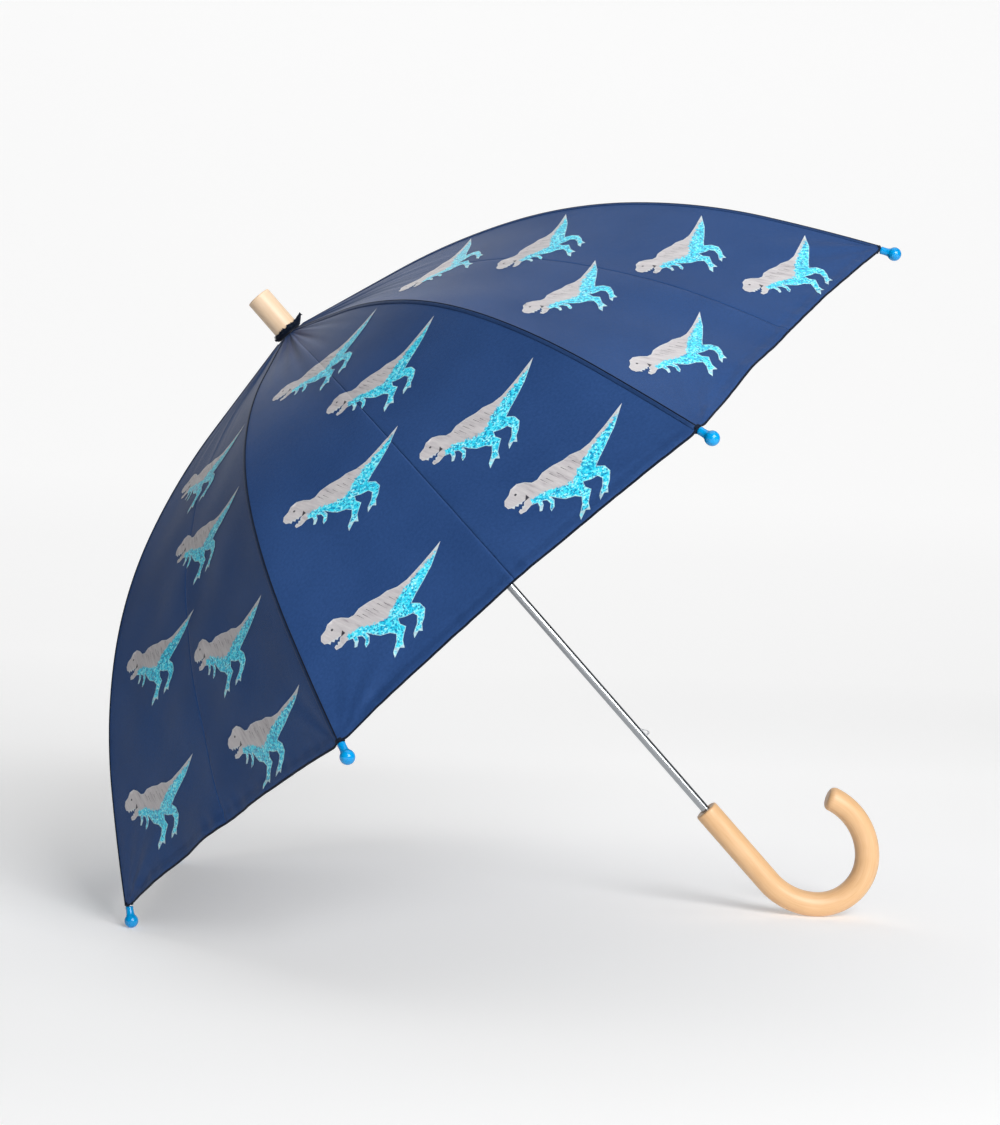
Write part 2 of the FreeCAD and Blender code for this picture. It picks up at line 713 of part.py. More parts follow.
def make_strap():
    """Tie strap sewn to the outside of a rear gore, with its snap fastener."""
    low = size("cloth_inner") + size("cloth_thickness") + size("strap_gap")
    high = low + size("strap_thickness")
    end = size("rib_length") - size("strap_end")
    start = end - size("strap_length")
    half_chord = rib_point(start)[0][0] * math.sin(HALF_GORE)
    outer_side = -half_chord + size("strap_side")
    slab = gore_slab(start, end, low, high, outer_side, outer_side + size("strap_width"))
    slab.rotate(Vector(), Vector(0, 0, 1), math.degrees(HALF_GORE))
    discs = []
    for at in (start + size("snap_inset"), end - size("snap_inset")):
        (radius, height), slope = rib_point(at, high + size("snap_gap"))
        narrow = math.cos(HALF_GORE)
        normal = Vector(math.sin(slope), 0, math.cos(slope) * narrow)
        centre = Vector(radius * narrow, outer_side + size("strap_width") / 2, height)
        disc = Part.makeCylinder(size("snap_radius"), size("snap_height"), centre, normal)
        disc.rotate(Vector(), Vector(0, 0, 1), math.degrees(HALF_GORE))
        discs.append(disc)
    return slab, Part.makeCompound(discs)


# ---------------------------------------------------------------- build
make_shaft_tube()
make_catch("upper_catch_spring", UPPER_CATCH, True)
make_catch("lower_catch_spring", size("lower_catch_height"), False)
make_handle()
make_ferrule()
make_notch()
make_rosettes()
make_runner()
FIXED = [
    "shaft_tube", "wooden_handle", "wooden_ferrule", "top_notch", "notch_wire", "stop_pin", "inner_rosette",
    "outer_rosette", "runner", "runner_wire", "upper_catch_spring", "lower_catch_spring",
]
turns = {name: 0.0 for name in FIXED}

panel_shape = make_panel_shape()
for number, azimuth in enumerate(AZIMUTHS, start=1):
    for maker in (make_rib, make_tip, make_rivet, make_stretcher):
        turns[maker(number).Name] = azimuth
    panel = doc.addObject("Part::Feature", "canopy_panel_%d" % number)
    panel.Shape = panel_shape.copy()
    turns[panel.Name] = azimuth

STRAP_RIB = 7
strap_shape, snap_shape = make_strap()
for name, shape in (("tie_strap", strap_shape), ("strap_snaps", snap_shape)):
    piece = doc.addObject("Part::Feature", name)
    piece.Shape = shape
    turns[name] = AZIMUTHS[STRAP_RIB - 1]
doc.recompute()

# ---------------------------------------------------------------- lay the umbrella on the floor
tilt = Placement(Vector(), Rotation(Vector(0, 1, 0), math.degrees(LEAN) - 90))
floor_below = math.cos(LEAN) * BALL_X + math.sin(LEAN) * TIP_HEIGHT - size("ball_radius")
nodes = [doc.getObject(name) for name in turns]
inner_places = {}
for node in nodes:
    about_shaft = Placement(Vector(), about_z(turns[node.Name]))
    inner_places[node.Name] = about_shaft.multiply(node.Placement)
reach = FreeCAD.BoundBox()
for node in nodes:
    node.Placement = tilt.multiply(inner_places[node.Name])
    reach.add(node.Shape.optimalBoundingBox(False, False))
middle = Placement(Vector(-reach.Center.x, -reach.Center.y, -floor_below), Rotation())
for node in nodes:
    node.Placement = middle.multiply(tilt).multiply(inner_places[node.Name])
doc.recompute()

# ---------------------------------------------------------------- check and export
for item in doc.Objects:
    if "Invalid" in item.State or "Error" in item.State:
        raise RuntimeError("%s did not recompute: %s" % (item.Label, item.State))
for node in nodes:
    if node.Shape.isNull() or not node.Shape.isValid() or node.Shape.Volume <= 0:
        raise RuntimeError("%s has no valid shape" % node.Label)
for node in nodes:
    node.Shape.exportStep("parts/%s.step" % node.Label)

origin = middle.multiply(tilt).Base
print("nodes %d" % len(nodes))
print("lean %.4f deg, shaft origin %.3f %.3f %.3f" % (math.degrees(LEAN), origin.x, origin.y, origin.z))
print("tip radius %.3f height %.3f slope %.3f" % (TIP_RADIUS, TIP_HEIGHT, math.degrees(TIP_SLOPE)))
print("lug %.4f %.4f arm %.4f open angle %.3f" % (LUG[0], LUG[1], ARM, math.degrees(OPEN_ANGLE)))
print(
    "runner open %.3f closed %.3f travel %.3f upper catch %.3f"
    % (RUNNER_OPEN, RUNNER_CLOSED, RUNNER_TRAVEL, UPPER_CATCH)
)
print("reach x %.3f y %.3f z %.3f" % (reach.XLength, reach.YLength, reach.ZMax - floor_below))
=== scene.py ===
import json
import math

import bpy
import numpy as np
from mathutils import Matrix, Vector
from mathutils.geometry import delaunay_2d_cdt


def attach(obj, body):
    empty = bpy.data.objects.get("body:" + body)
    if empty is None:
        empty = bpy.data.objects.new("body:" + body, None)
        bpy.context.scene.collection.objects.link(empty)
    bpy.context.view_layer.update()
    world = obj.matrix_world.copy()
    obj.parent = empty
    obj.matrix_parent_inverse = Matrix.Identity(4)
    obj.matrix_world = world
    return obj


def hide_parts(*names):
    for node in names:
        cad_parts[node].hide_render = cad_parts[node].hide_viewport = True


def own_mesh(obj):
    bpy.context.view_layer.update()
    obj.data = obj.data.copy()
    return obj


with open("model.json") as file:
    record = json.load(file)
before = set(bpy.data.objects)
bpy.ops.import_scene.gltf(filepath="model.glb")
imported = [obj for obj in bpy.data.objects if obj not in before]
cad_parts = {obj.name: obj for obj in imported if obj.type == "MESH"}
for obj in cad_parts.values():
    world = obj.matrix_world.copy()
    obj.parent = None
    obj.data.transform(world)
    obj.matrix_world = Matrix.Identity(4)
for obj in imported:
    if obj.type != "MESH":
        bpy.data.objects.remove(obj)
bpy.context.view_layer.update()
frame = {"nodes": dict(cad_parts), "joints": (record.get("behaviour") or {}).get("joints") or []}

# ------------------------------------------------------------- the umbrella's own axes
RIBS = 8
JOINTS = {joint["name"]: joint for joint in frame["joints"]}
FOLDS = [JOINTS["rib_%d_fold" % rib] for rib in range(1, RIBS + 1)]
HINGES = np.array([fold["pos_m"] for fold in FOLDS])
HUB = HINGES.mean(axis=0)
UP = -np.array(JOINTS["runner_slide"]["axis"])
CROOKWARD = -np.array(JOINTS["upper_catch_press"]["axis"])
AXES = np.array([CROOKWARD, np.cross(UP, CROOKWARD), UP])


def to_own(points):
    """Points of the row frame along the umbrella's own axes, measured from the hub."""
    return (np.asarray(points, float) - HUB) @ AXES.T


def to_row(points):
    """Points on the umbrella's own axes, measured from the hub, in the row frame."""
    return np.asarray(points, float) @ AXES + HUB


def span(node):
    """Lowest and highest corner of a CAD node along the umbrella's own axes."""
    own = to_own([vertex.co for vertex in frame["nodes"][node].data.vertices])
    return own.min(axis=0), own.max(axis=0)


# ------------------------------------------------------------- sizes in metres, angles in radians
PIVOT_RADIUS = float(np.linalg.norm(HINGES[0] - HUB))
FIRST_RIB = math.atan2(*(to_own(HINGES[0])[[1, 0]]))
GORE = 2 * math.pi / RIBS
HALF_GORE = GORE / 2
RIB_LENGTH = 0.460
RIB_SLOPES = [math.radians(angle) for angle in (13.1, 13.1, 24.1, 40.6, 53.6, 57.0)]
RIB_FIFTH = RIB_LENGTH / (len(RIB_SLOPES) - 1)

CLOTH_ABOVE = 0.00235
CLOTH_THICKNESS = 0.0003
CLOTH_START = 0.0033
CLOTH_END = RIB_LENGTH - 0.0084
HEM_SCALLOP = 0.0062
CORNER_CUT = 0.0022

FERRULE_LOW, FERRULE_HIGH = span("wooden_ferrule")
FERRULE_RADIUS = (FERRULE_HIGH[0] - FERRULE_LOW[0]) / 2
SHAFT_RADIUS = 0.0033
HANDLE_TOP = span("wooden_handle")[1][2]
HANDLE_RADIUS = span("wooden_handle")[1][1]
HANDLE_STRAIGHT = 0.0726
CROOK_ARCS = [(0.0509, 48.7), (0.0367, 90.0), (0.0479, 69.0)]
HANDLE_EDGE_TOP = 0.0016
HANDLE_EDGE_END = 0.0045
HANDLE_STEP = 0.0025
BORE_DEPTH = 0.006
BORE_EDGE = 0.0003
BORE_RADIUS = SHAFT_RADIUS + 0.00035

STRAP_RIB = 7
STRAP_LENGTH = 0.120
STRAP_END = RIB_LENGTH - 0.034
STRAP_SIDE = 0.0035
STRAP_WIDTH = 0.014


# ------------------------------------------------------------- meshes
def mesh_object(name, points, faces, uv=None):
    """A smooth-shaded object from points in the row frame, with a texture place per point."""
    mesh = bpy.data.meshes.new(name)
    mesh.from_pydata(np.asarray(points, float).tolist(), [], faces)
    mesh.polygons.foreach_set("use_smooth", [True] * len(mesh.polygons))
    if uv is not None:
        corners = np.empty(len(mesh.loops), np.int32)
        mesh.loops.foreach_get("vertex_index", corners)
        layer = mesh.uv_layers.new(name="cloth")
        layer.data.foreach_set("uv", np.asarray(uv, np.float32)[corners].ravel())
    mesh.validate()
    mesh.update()
    made = bpy.data.objects.new(name, mesh)
    bpy.context.scene.collection.objects.link(made)
    return made


def grid_faces(rows, columns, ring=False, flip=False):
    """Quads of a grid of points, rows by columns, its columns closed to a ring if asked."""
    faces = []
    across = columns if ring else columns - 1
    for row in range(rows - 1):
        low = row * columns
        high = low + columns
        for column in range(across):
            after = (column + 1) % columns
            corners = (low + column, low + after, high + after, high + column)
            faces.append(corners[::-1] if flip else corners)
    return faces


def capped_faces(rows, columns, flip=False):
    """Faces of a closed bar: an outline at every row, and a face at each end."""
    faces = grid_faces(rows, columns, ring=True)
    last = (rows - 1) * columns
    faces.append(tuple(range(columns))[::-1])
    faces.append(tuple(range(last, last + columns)))
    return [face[::-1] for face in faces] if flip else faces


def set_points(made, name, values):
    """A number per point that the material reads by name."""
    layer = made.data.attributes.new(name, "FLOAT", "POINT")
    layer.data.foreach_set("value", np.asarray(values, np.float32))


def thicken(made, thickness, inner_slot=0, offset=-1.0):
    """Gives a sheet its thickness, with its other side in another material slot."""
    modifier = made.modifiers.new("thickness", "SOLIDIFY")
    modifier.thickness = thickness
    modifier.offset = offset
    modifier.use_even_offset = False
    modifier.material_offset = inner_slot
    evaluated = made.evaluated_get(bpy.context.evaluated_depsgraph_get())
    done = bpy.data.meshes.new_from_object(evaluated)
    made.modifiers.clear()
    made.data = done


def turned(name, profile, base, axis, segments=40):
    """A turned piece: profile is (radius, height) from its foot to its top, closed at both ends."""
    axis = np.asarray(axis, float)
    aside = np.cross(axis, [0.0, 1.0, 0.0])
    if np.linalg.norm(aside) < 0.1:
        aside = np.cross(axis, [1.0, 0.0, 0.0])
    aside /= np.linalg.norm(aside)
    third = np.cross(axis, aside)
    angles = np.arange(segments) * 2 * math.pi / segments
    ring = np.outer(np.cos(angles), aside) + np.outer(np.sin(angles), third)
    points = []
    uv = []
    run = 0.0
    for number, (radius, height) in enumerate(profile):
        if number:
            run += math.dist(profile[number - 1], profile[number])
        points.extend(base + axis * height + ring * radius)
        uv.extend([(angle * profile[0][0], run) for angle in angles])
    return mesh_object(name, points, capped_faces(len(profile), segments), uv)


def tube(name, path, radius, segments=8):
    """A round thread that follows a path, with closed ends."""
    path = np.asarray(path, float)
    heading = np.gradient(path, axis=0)
    heading /= np.linalg.norm(heading, axis=1)[:, None]
    aside = np.cross(heading, UP + 0.3 * AXES[1])
    aside /= np.linalg.norm(aside, axis=1)[:, None]
    third = np.cross(heading, aside)
    points = []
    for step in range(len(path)):
        for segment in range(segments):
            angle = 2 * math.pi * segment / segments
            around = math.cos(angle) * aside[step] + math.sin(angle) * third[step]
            points.append(path[step] + radius * around)
    return mesh_object(name, points, capped_faces(len(path), segments))


def join(name, objects):
    """Several meshes as one piece, each part keeping its texture places and materials."""
    with bpy.context.temp_override(active_object=objects[0], selected_editable_objects=objects):
        bpy.ops.object.join()
    objects[0].name = name
    objects[0].data.name = name
    return objects[0]


# ------------------------------------------------------------- the cloth's shape
def rib_point(along):
    """Radius, height and slope of a rib's centre line at a distance from its hinge."""
    along = np.asarray(along, float)
    radius = np.full_like(along, PIVOT_RADIUS)
    height = np.zeros_like(along)
    slope = np.full_like(along, RIB_SLOPES[0])
    for number, (first, last) in enumerate(zip(RIB_SLOPES, RIB_SLOPES[1:])):
        longest = RIB_FIFTH if number < len(RIB_SLOPES) - 2 else RIB_LENGTH
        run = np.clip(along - number * RIB_FIFTH, 0, longest)
        turn = (last - first) / RIB_FIFTH
        if turn == 0:
            radius += run * math.cos(first)
            height -= run * math.sin(first)
        else:
            radius += (np.sin(first + turn * run) - math.sin(first)) / turn
            height -= (math.cos(first) - np.cos(first + turn * run)) / turn
            slope += turn * run
    return radius, height, slope


HEM_HALF_WIDTH = float(rib_point(CLOTH_END)[0]) * math.sin(HALF_GORE)


def rib_azimuth(rib):
    return FIRST_RIB + GORE * (rib - 1)


def cloth_rim(along):
    """Half the gore's width at a distance along the ribs."""
    radius, _, slope = rib_point(along)
    return (radius + CLOTH_ABOVE * np.sin(slope)) * math.sin(HALF_GORE)


def hem_at(across):
    """Distance along the ribs where the cloth ends: the hem hangs a little short between the tips."""
    to_tip = (1 - np.abs(across)) * HEM_HALF_WIDTH
    return CLOTH_END - HEM_SCALLOP * (1 - np.abs(across) ** 2.2) - CORNER_CUT * np.exp(-(to_tip / 0.004) ** 2)


# Relief of the cloth in metres: how deep it sags, and how high each kind of fold stands.
GORE_SAG = 0.0034
HEM_SAG = 0.0016
HUB_STREAK = 0.00026
SLACK = 0.00040
PUCKER = 0.00013
HEM_RISE = 0.00055
STITCH_DIP = 0.00030
TIP_PULL = 0.00050
CREASE = 0.00028
CREASE_WIDTH = 0.0011
PHASE = 6.28

draws = np.random.default_rng(11)
STREAKS = draws.uniform(0, 1, (RIBS + 1, 7, 3))
DRAPES = draws.uniform(0, 1, (RIBS + 1, 6, 4))
PUCKERS = draws.uniform(0, 1, (RIBS + 1, 9, 3))
CORNERS = draws.uniform(0, 1, (RIBS + 1, 2, 4, 2))


def relief(gore, along, across, half_width):
    """How far the cloth stands proud of the straight chords between two ribs."""
    side = across * half_width
    free = 1 - across ** 2
    share = np.clip(along / CLOTH_END, 0, 1)
    out = -GORE_SAG * free * np.sin(math.pi * share ** 1.3) - HEM_SAG * free * share ** 4
    # streaks that run out from the hub
    near_hub = np.exp(-((along - 0.055) / 0.075) ** 2) * np.clip(along / 0.03, 0, 1)
    for size, place, phase in STREAKS[gore]:
        waves = 2.5 + 7 * place
        streak = np.cos(math.pi * waves * across + PHASE * phase)
        out += HUB_STREAK * (0.4 + size) * near_hub * free * streak
    # slack in the middle of the gore
    for size, turn, pitch, phase in DRAPES[gore]:
        wave = 2 * math.pi / (0.05 + 0.09 * pitch)
        lean = (turn - 0.5) * 1.6
        drape = np.sin(wave * (side * math.cos(lean) + along * math.sin(lean)) + PHASE * phase)
        out += SLACK * (0.3 + size) * free * share * drape
    # puckers of the hem's stitching
    to_hem = hem_at(across) - along
    hemmed = np.exp(-((to_hem - 0.006) / 0.007) ** 2) * np.clip(free * 3, 0, 1)
    for size, pitch, phase in PUCKERS[gore]:
        wave = 2 * math.pi / (0.009 + 0.022 * pitch)
        out += PUCKER * (0.3 + size) * hemmed * np.sin(wave * side + PHASE * phase + to_hem * 120)
    # the hem's two layers stand a little proud of the stitching
    out += HEM_RISE * np.exp(-((to_hem - 0.0035) / 0.0030) ** 2) * np.clip(free * 6, 0, 1)
    out -= STITCH_DIP * np.exp(-((to_hem - 0.0082) / 0.0018) ** 2) * np.clip(free * 6, 0, 1)
    # pulls that fan out from the two tips
    for corner, sign in enumerate((-1, 1)):
        aside = half_width - sign * side
        distance = np.hypot(aside, CLOTH_END - along)
        angle = np.arctan2(CLOTH_END - along, np.maximum(aside, 1e-6))
        reach = np.exp(-(distance / 0.060) ** 2) * np.clip(distance / 0.012, 0, 1)
        reach = reach * np.clip(free * 2.5, 0, 1)
        for wave, (size, phase) in zip((5, 8, 11, 15), CORNERS[gore, corner]):
            out += TIP_PULL * (0.4 + size) * reach * np.sin(wave * angle + PHASE * phase)
    # the crease that the folded cloth keeps in the middle
    out -= CREASE * np.exp(-np.abs(side) / CREASE_WIDTH) * np.clip(along / 0.05, 0, 1)
    return out


def cloth_point(gore, along, across, lift=0.0, smooth=False):
    """Points of the cloth in the row frame.

    gore counts from the rib before it; across runs from -1 on that rib to 1 on the next.
    """
    along, across = np.broadcast_arrays(np.asarray(along, float), np.asarray(across, float))
    radius, height, slope = rib_point(along)
    radius = radius + CLOTH_ABOVE * np.sin(slope)
    height = height + CLOTH_ABOVE * np.cos(slope)
    half_width = radius * math.sin(HALF_GORE)
    out = lift + (0 if smooth else relief(gore, along, across, half_width))
    outward = np.sin(slope)
    upward = np.cos(slope) * math.cos(HALF_GORE)
    length = np.hypot(outward, upward)
    deep = radius * math.cos(HALF_GORE) + out * outward / length
    level = height + out * upward / length
    side = across * half_width
    middle = rib_azimuth(gore) + HALF_GORE
    own = np.stack([
        deep * math.cos(middle) - side * math.sin(middle),
        deep * math.sin(middle) + side * math.cos(middle),
        level,
    ], axis=-1)
    return to_row(own)


def gore_before(rib):
    return rib - 1 if rib > 1 else RIBS


def beside_rib(rib, column):
    """The gore that a column of a section lies in, and its place across that gore."""
    return (rib, column - 1) if column > 0 else (gore_before(rib), column + 1)


def follow_rib(piece, rib):
    """Cloth moves with its rib, on a mesh of its own."""
    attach(piece, "rib_%d" % rib)
    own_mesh(piece)


# ------------------------------------------------------------- materials
def node(tree, kind, sockets=None, **settings):
    """A shader node. A socket's value is a number, a colour, or another node's output to link."""
    made = tree.nodes.new("ShaderNode" + kind)
    for name, value in settings.items():
        setattr(made, name, value)
    for name, value in (sockets or {}).items():
        if isinstance(value, bpy.types.NodeSocket):
            tree.links.new(value, made.inputs[name])
        else:
            made.inputs[name].default_value = value
    return made


def new_material(name):
    made = bpy.data.materials.new(name)
    made.use_nodes = True
    made.node_tree.nodes.clear()
    return made, made.node_tree


def finish_material(tree, sockets):
    shader = node(tree, "BsdfPrincipled", sockets)
    node(tree, "OutputMaterial", {"Surface": shader.outputs[0]})


def ramp(tree, factor, stops):
    """A colour for each value of a factor: stops are (position, colour)."""
    made = node(tree, "ValToRGB", {"Fac": factor})
    elements = made.color_ramp.elements
    elements[0].position, elements[0].color = stops[0][0], (*stops[0][1], 1)
    elements[1].position, elements[1].color = stops[-1][0], (*stops[-1][1], 1)
    for position, colour in stops[1:-1]:
        elements.new(position).color = (*colour, 1)
    return made.outputs[0]


# The Mix node holds sockets for numbers, vectors and colours: these are the ones for colours.
MIX_FACTOR, MIX_FIRST, MIX_SECOND, MIX_RESULT = 0, 6, 7, 2


def mix(tree, factor, first, second, blend="MIX"):
    """Two colours mixed; each is a colour or another node's output."""
    def full(colour):
        return colour if isinstance(colour, bpy.types.NodeSocket) else (*colour, 1)
    made = node(tree, "Mix", data_type="RGBA", blend_type=blend)
    for index, value in ((MIX_FACTOR, factor), (MIX_FIRST, full(first)), (MIX_SECOND, full(second))):
        if isinstance(value, bpy.types.NodeSocket):
            tree.links.new(value, made.inputs[index])
        else:
            made.inputs[index].default_value = value
    return made.outputs[MIX_RESULT]


def math_node(tree, operation, first, second=0.0, clamp=False):
    return node(tree, "Math", {0: first, 1: second}, operation=operation, use_clamp=clamp).outputs[0]


def noise(tree, places, scale, detail=3.0, rough=0.55, distortion=0.0):
    sockets = {
        "Vector": places, "Scale": scale, "Detail": detail, "Roughness": rough, "Distortion": distortion,
    }
    return node(tree, "TexNoise", sockets).outputs[0]


def level(tree, value, low, high, to_low, to_high):
    """A value from one range carried over to another."""
    sockets = {0: value, 1: low, 2: high, 3: to_low, 4: to_high}
    return node(tree, "MapRange", sockets).outputs[0]


def bump(tree, height, strength, distance, below=None):
    sockets = {"Height": height, "Strength": strength, "Distance": distance}
    if below is not None:
        sockets["Normal"] = below
    return node(tree, "Bump", sockets).outputs[0]


def cloth_places(tree):
    """Places on the flat cloth in metres: across the gore and along the rib."""
    return node(tree, "UVMap", uv_map="cloth").outputs[0]


def own_places(tree, stretch=(1, 1, 1)):
    """Places along the umbrella's own axes, for pieces that keep their CAD mesh."""
    places = node(tree, "TexCoord").outputs["Object"]
    turn = Matrix(AXES.tolist()).to_euler("XYZ")
    turned_to_axes = node(tree, "Mapping", {"Vector": places, "Rotation": tuple(turn)}).outputs[0]
    return node(tree, "Mapping", {"Vector": turned_to_axes, "Scale": stretch}).outputs[0]


def weave(tree, places, pitch):
    """Warp and weft threads as a height, each thread pitch metres wide."""
    threads = []
    for direction in ("X", "Y"):
        sockets = {"Vector": places, "Scale": math.pi / (10 * pitch), "Distortion": 0.6, "Detail": 1.0}
        bands = node(tree, "TexWave", sockets, wave_type="BANDS", bands_direction=direction)
        threads.append(bands.outputs[1])
    return math_node(tree, "MULTIPLY", threads[0], threads[1])


def cloth_material(name, dark, light, roughness, sheen, pitch=0.00022):
    """Woven polyester: cloudy and finely mottled colour, threads and small creases in its bump."""
    made, tree = new_material(name)
    places = cloth_places(tree)
    clouds = noise(tree, places, 14.0, 2.0)
    mottle = noise(tree, places, 520.0, 4.0, 0.7)
    colour = mix(tree, level(tree, clouds, 0.3, 0.7, 0, 1), dark, light)
    shade = ramp(tree, mottle, [(0.25, (0.80, 0.80, 0.82)), (0.75, (1.16, 1.15, 1.12))])
    colour = mix(tree, 1.0, colour, shade, "MULTIPLY")
    creases = noise(tree, places, 60.0, 5.0, 0.6, 0.4)
    rough_map = level(tree, mottle, 0.2, 0.8, roughness - 0.05, roughness + 0.07)
    normal = bump(tree, creases, 0.22, 0.0012)
    normal = bump(tree, weave(tree, places, pitch), 0.28, pitch * 0.6, normal)
    finish_material(tree, {
        "Base Color": colour,
        "Roughness": rough_map,
        "Normal": normal,
        "Specular IOR Level": 0.14,
        "Specular Tint": (0.55, 0.75, 1.0, 1),
        "Sheen Weight": sheen,
        "Sheen Roughness": 0.45,
        "Sheen Tint": (0.55, 0.68, 1.0, 1),
    })
    return made


def print_material():
    """Foil print: a warm silver back with hatching, and a belly of bright and deep blue flecks."""
    made, tree = new_material("foil_print")
    places = cloth_places(tree)
    belly = node(tree, "Attribute", attribute_name="belly").outputs["Fac"]
    rim = node(tree, "Attribute", attribute_name="rim").outputs["Fac"]
    streak_places = node(tree, "Mapping", {
        "Vector": places, "Rotation": (0, 0, math.radians(-20)), "Scale": (1, 7, 1),
    }, vector_type="TEXTURE").outputs[0]
    hatching = noise(tree, streak_places, 380.0, 3.0, 0.7)
    silver = ramp(tree, hatching, [
        (0.30, (0.34, 0.31, 0.33)), (0.42, (0.50, 0.475, 0.49)), (0.65, (0.60, 0.575, 0.58)),
    ])
    flecks = node(tree, "TexVoronoi", {"Vector": places, "Scale": 950.0, "Randomness": 1.0})
    fleck = node(tree, "SeparateColor", {"Color": flecks.outputs["Color"]}).outputs[0]
    blue = ramp(tree, fleck, [
        (0.0, (0.005, 0.20, 0.42)), (0.22, (0.01, 0.40, 0.66)), (0.45, (0.02, 0.66, 0.88)),
        (0.75, (0.10, 0.80, 0.94)), (1.0, (0.42, 0.90, 0.96)),
    ])
    grain = noise(tree, places, 420.0, 3.0, 0.7)
    spread = math_node(tree, "MULTIPLY", math_node(tree, "SUBTRACT", grain, 0.5), 1.5)
    covered = math_node(tree, "ADD", belly, spread)
    covered = level(tree, covered, 0.42, 0.58, 0, 1)
    colour = mix(tree, covered, silver, blue)
    edge = level(tree, rim, 0.0, 0.3, 0.7, 0.0)
    colour = mix(tree, edge, colour, (0.60, 0.68, 0.72))
    marked = level(tree, rim, -0.5, -0.4, 1.0, 0.0)
    colour = mix(tree, marked, colour, (0.045, 0.042, 0.055))
    finish_material(tree, {
        "Base Color": colour,
        "Roughness": level(tree, fleck, 0, 1, 0.28, 0.55),
        "Normal": bump(tree, fleck, 0.3, 0.0002),
        "Metallic": 0.0,
        "Specular IOR Level": 0.6,
    })
    return made


ALONG_UV = (1, 0.045, 1)
ALONG_SHAFT = (1, 1, 0.045)


def wood_material(name, places_of, stretch, tones):
    """Pale lacquered hardwood: long faint grain, short pores and a slow change of warmth."""
    made, tree = new_material(name)
    places = places_of(tree)
    slow = noise(tree, places, 26.0, 2.0)
    grain_places = node(tree, "Mapping", {"Vector": places, "Scale": stretch}).outputs[0]
    grain = noise(tree, grain_places, 900.0, 4.0, 0.62, 0.5)
    pores = noise(tree, grain_places, 2600.0, 2.0, 0.5)
    colour = ramp(tree, grain, list(zip((0.28, 0.5, 0.72), tones)))
    warm = ramp(tree, slow, [(0.3, (0.96, 0.93, 0.88)), (0.7, (1.03, 1.03, 1.04))])
    colour = mix(tree, 1.0, colour, warm, "MULTIPLY")
    dots = level(tree, pores, 0.66, 0.78, 0.0, 0.35)
    colour = mix(tree, dots, colour, (0.66, 0.40, 0.19))
    finish_material(tree, {
        "Base Color": colour,
        "Roughness": level(tree, grain, 0.3, 0.7, 0.36, 0.46),
        "Normal": bump(tree, grain, 0.12, 0.0002),
        "Specular IOR Level": 0.4,
        "Coat Weight": 0.12,
        "Coat Roughness": 0.3,
    })
    return made


def steel_material(name, colour, roughness, stretch):
    """Plated steel, drawn along one axis, with faint smudges."""
    made, tree = new_material(name)
    lines = noise(tree, own_places(tree, stretch), 900.0, 3.0, 0.6)
    smudges = noise(tree, own_places(tree), 45.0, 3.0, 0.6)
    darker = tuple(value * 0.86 for value in colour)
    lighter = tuple(value * 1.06 for value in colour)
    shade = ramp(tree, lines, [(0.3, darker), (0.7, lighter)])
    rough = math_node(tree, "ADD", level(tree, lines, 0.3, 0.7, roughness - 0.05, roughness + 0.06),
                      level(tree, smudges, 0.4, 0.7, 0.0, 0.04))
    finish_material(tree, {
        "Base Color": shade,
        "Metallic": 1.0,
        "Roughness": rough,
        "Normal": bump(tree, lines, 0.006, 0.0001),
    })
    return made


def plastic_material(name, dark, light, roughness, coat, grain_scale):
    """Moulded plastic: a slight flow in its colour, a fine grain and small scuffs."""
    made, tree = new_material(name)
    places = node(tree, "TexCoord").outputs["Object"]
    flow = noise(tree, places, 120.0, 3.0)
    grain = noise(tree, places, grain_scale, 2.0)
    scuffs = noise(tree, places, 700.0, 4.0, 0.7, 1.0)
    finish_material(tree, {
        "Base Color": mix(tree, level(tree, flow, 0.35, 0.65, 0, 1), dark, light),
        "Roughness": level(tree, scuffs, 0.45, 0.75, roughness, roughness + 0.14),
        "Normal": bump(tree, grain, 0.04, 0.0002),
        "Specular IOR Level": 0.3,
        "Coat Weight": coat,
        "Coat Roughness": 0.08,
    })
    return made


CLOTH = cloth_material("navy_satin", (0.020, 0.057, 0.176), (0.026, 0.070, 0.208), 0.45, 0.04)
LINING = cloth_material("navy_reverse", (0.010, 0.025, 0.074), (0.014, 0.033, 0.092), 0.62, 0.04)
FOLD = cloth_material("navy_fold", (0.015, 0.041, 0.122), (0.019, 0.050, 0.146), 0.50, 0.04)
# Near-black cloth for the hem, threads and rosettes; on the seam's bead it is painted shade.
BINDING_AND_GROOVE_SHADE = cloth_material("dark_binding_and_groove_shade", (0.004, 0.007, 0.016), (0.007, 0.011, 0.024), 0.60, 0.08)
FOIL = print_material()
WOOD = wood_material(
    "pale_wood", cloth_places, ALONG_UV,
    [(0.73, 0.440, 0.220), (0.775, 0.490, 0.260), (0.80, 0.520, 0.295)],
)
PEG_WOOD = wood_material(
    "pale_wood_peg", own_places, ALONG_SHAFT,
    [(0.81, 0.585, 0.375), (0.86, 0.645, 0.445), (0.88, 0.680, 0.485)],
)
SHAFT_STEEL = steel_material("drawn_steel", (0.44, 0.46, 0.48), 0.22, (2.5, 2.5, 0.004))
FRAME_STEEL = steel_material("frame_steel", (0.50, 0.51, 0.53), 0.33, (1, 1, 1))
SNAP_METAL = steel_material("snap_metal", (0.72, 0.73, 0.75), 0.18, (1, 1, 1))
BLUE = plastic_material("blue_plastic", (0.000, 0.260, 0.63), (0.001, 0.315, 0.70), 0.14, 0.35, 900.0)
BLACK = plastic_material("black_plastic", (0.011, 0.011, 0.012), (0.018, 0.018, 0.020), 0.42, 0.0, 2200.0)


def paint(made, *materials):
    made.data.materials.clear()
    for material in materials:
        made.data.materials.append(material)


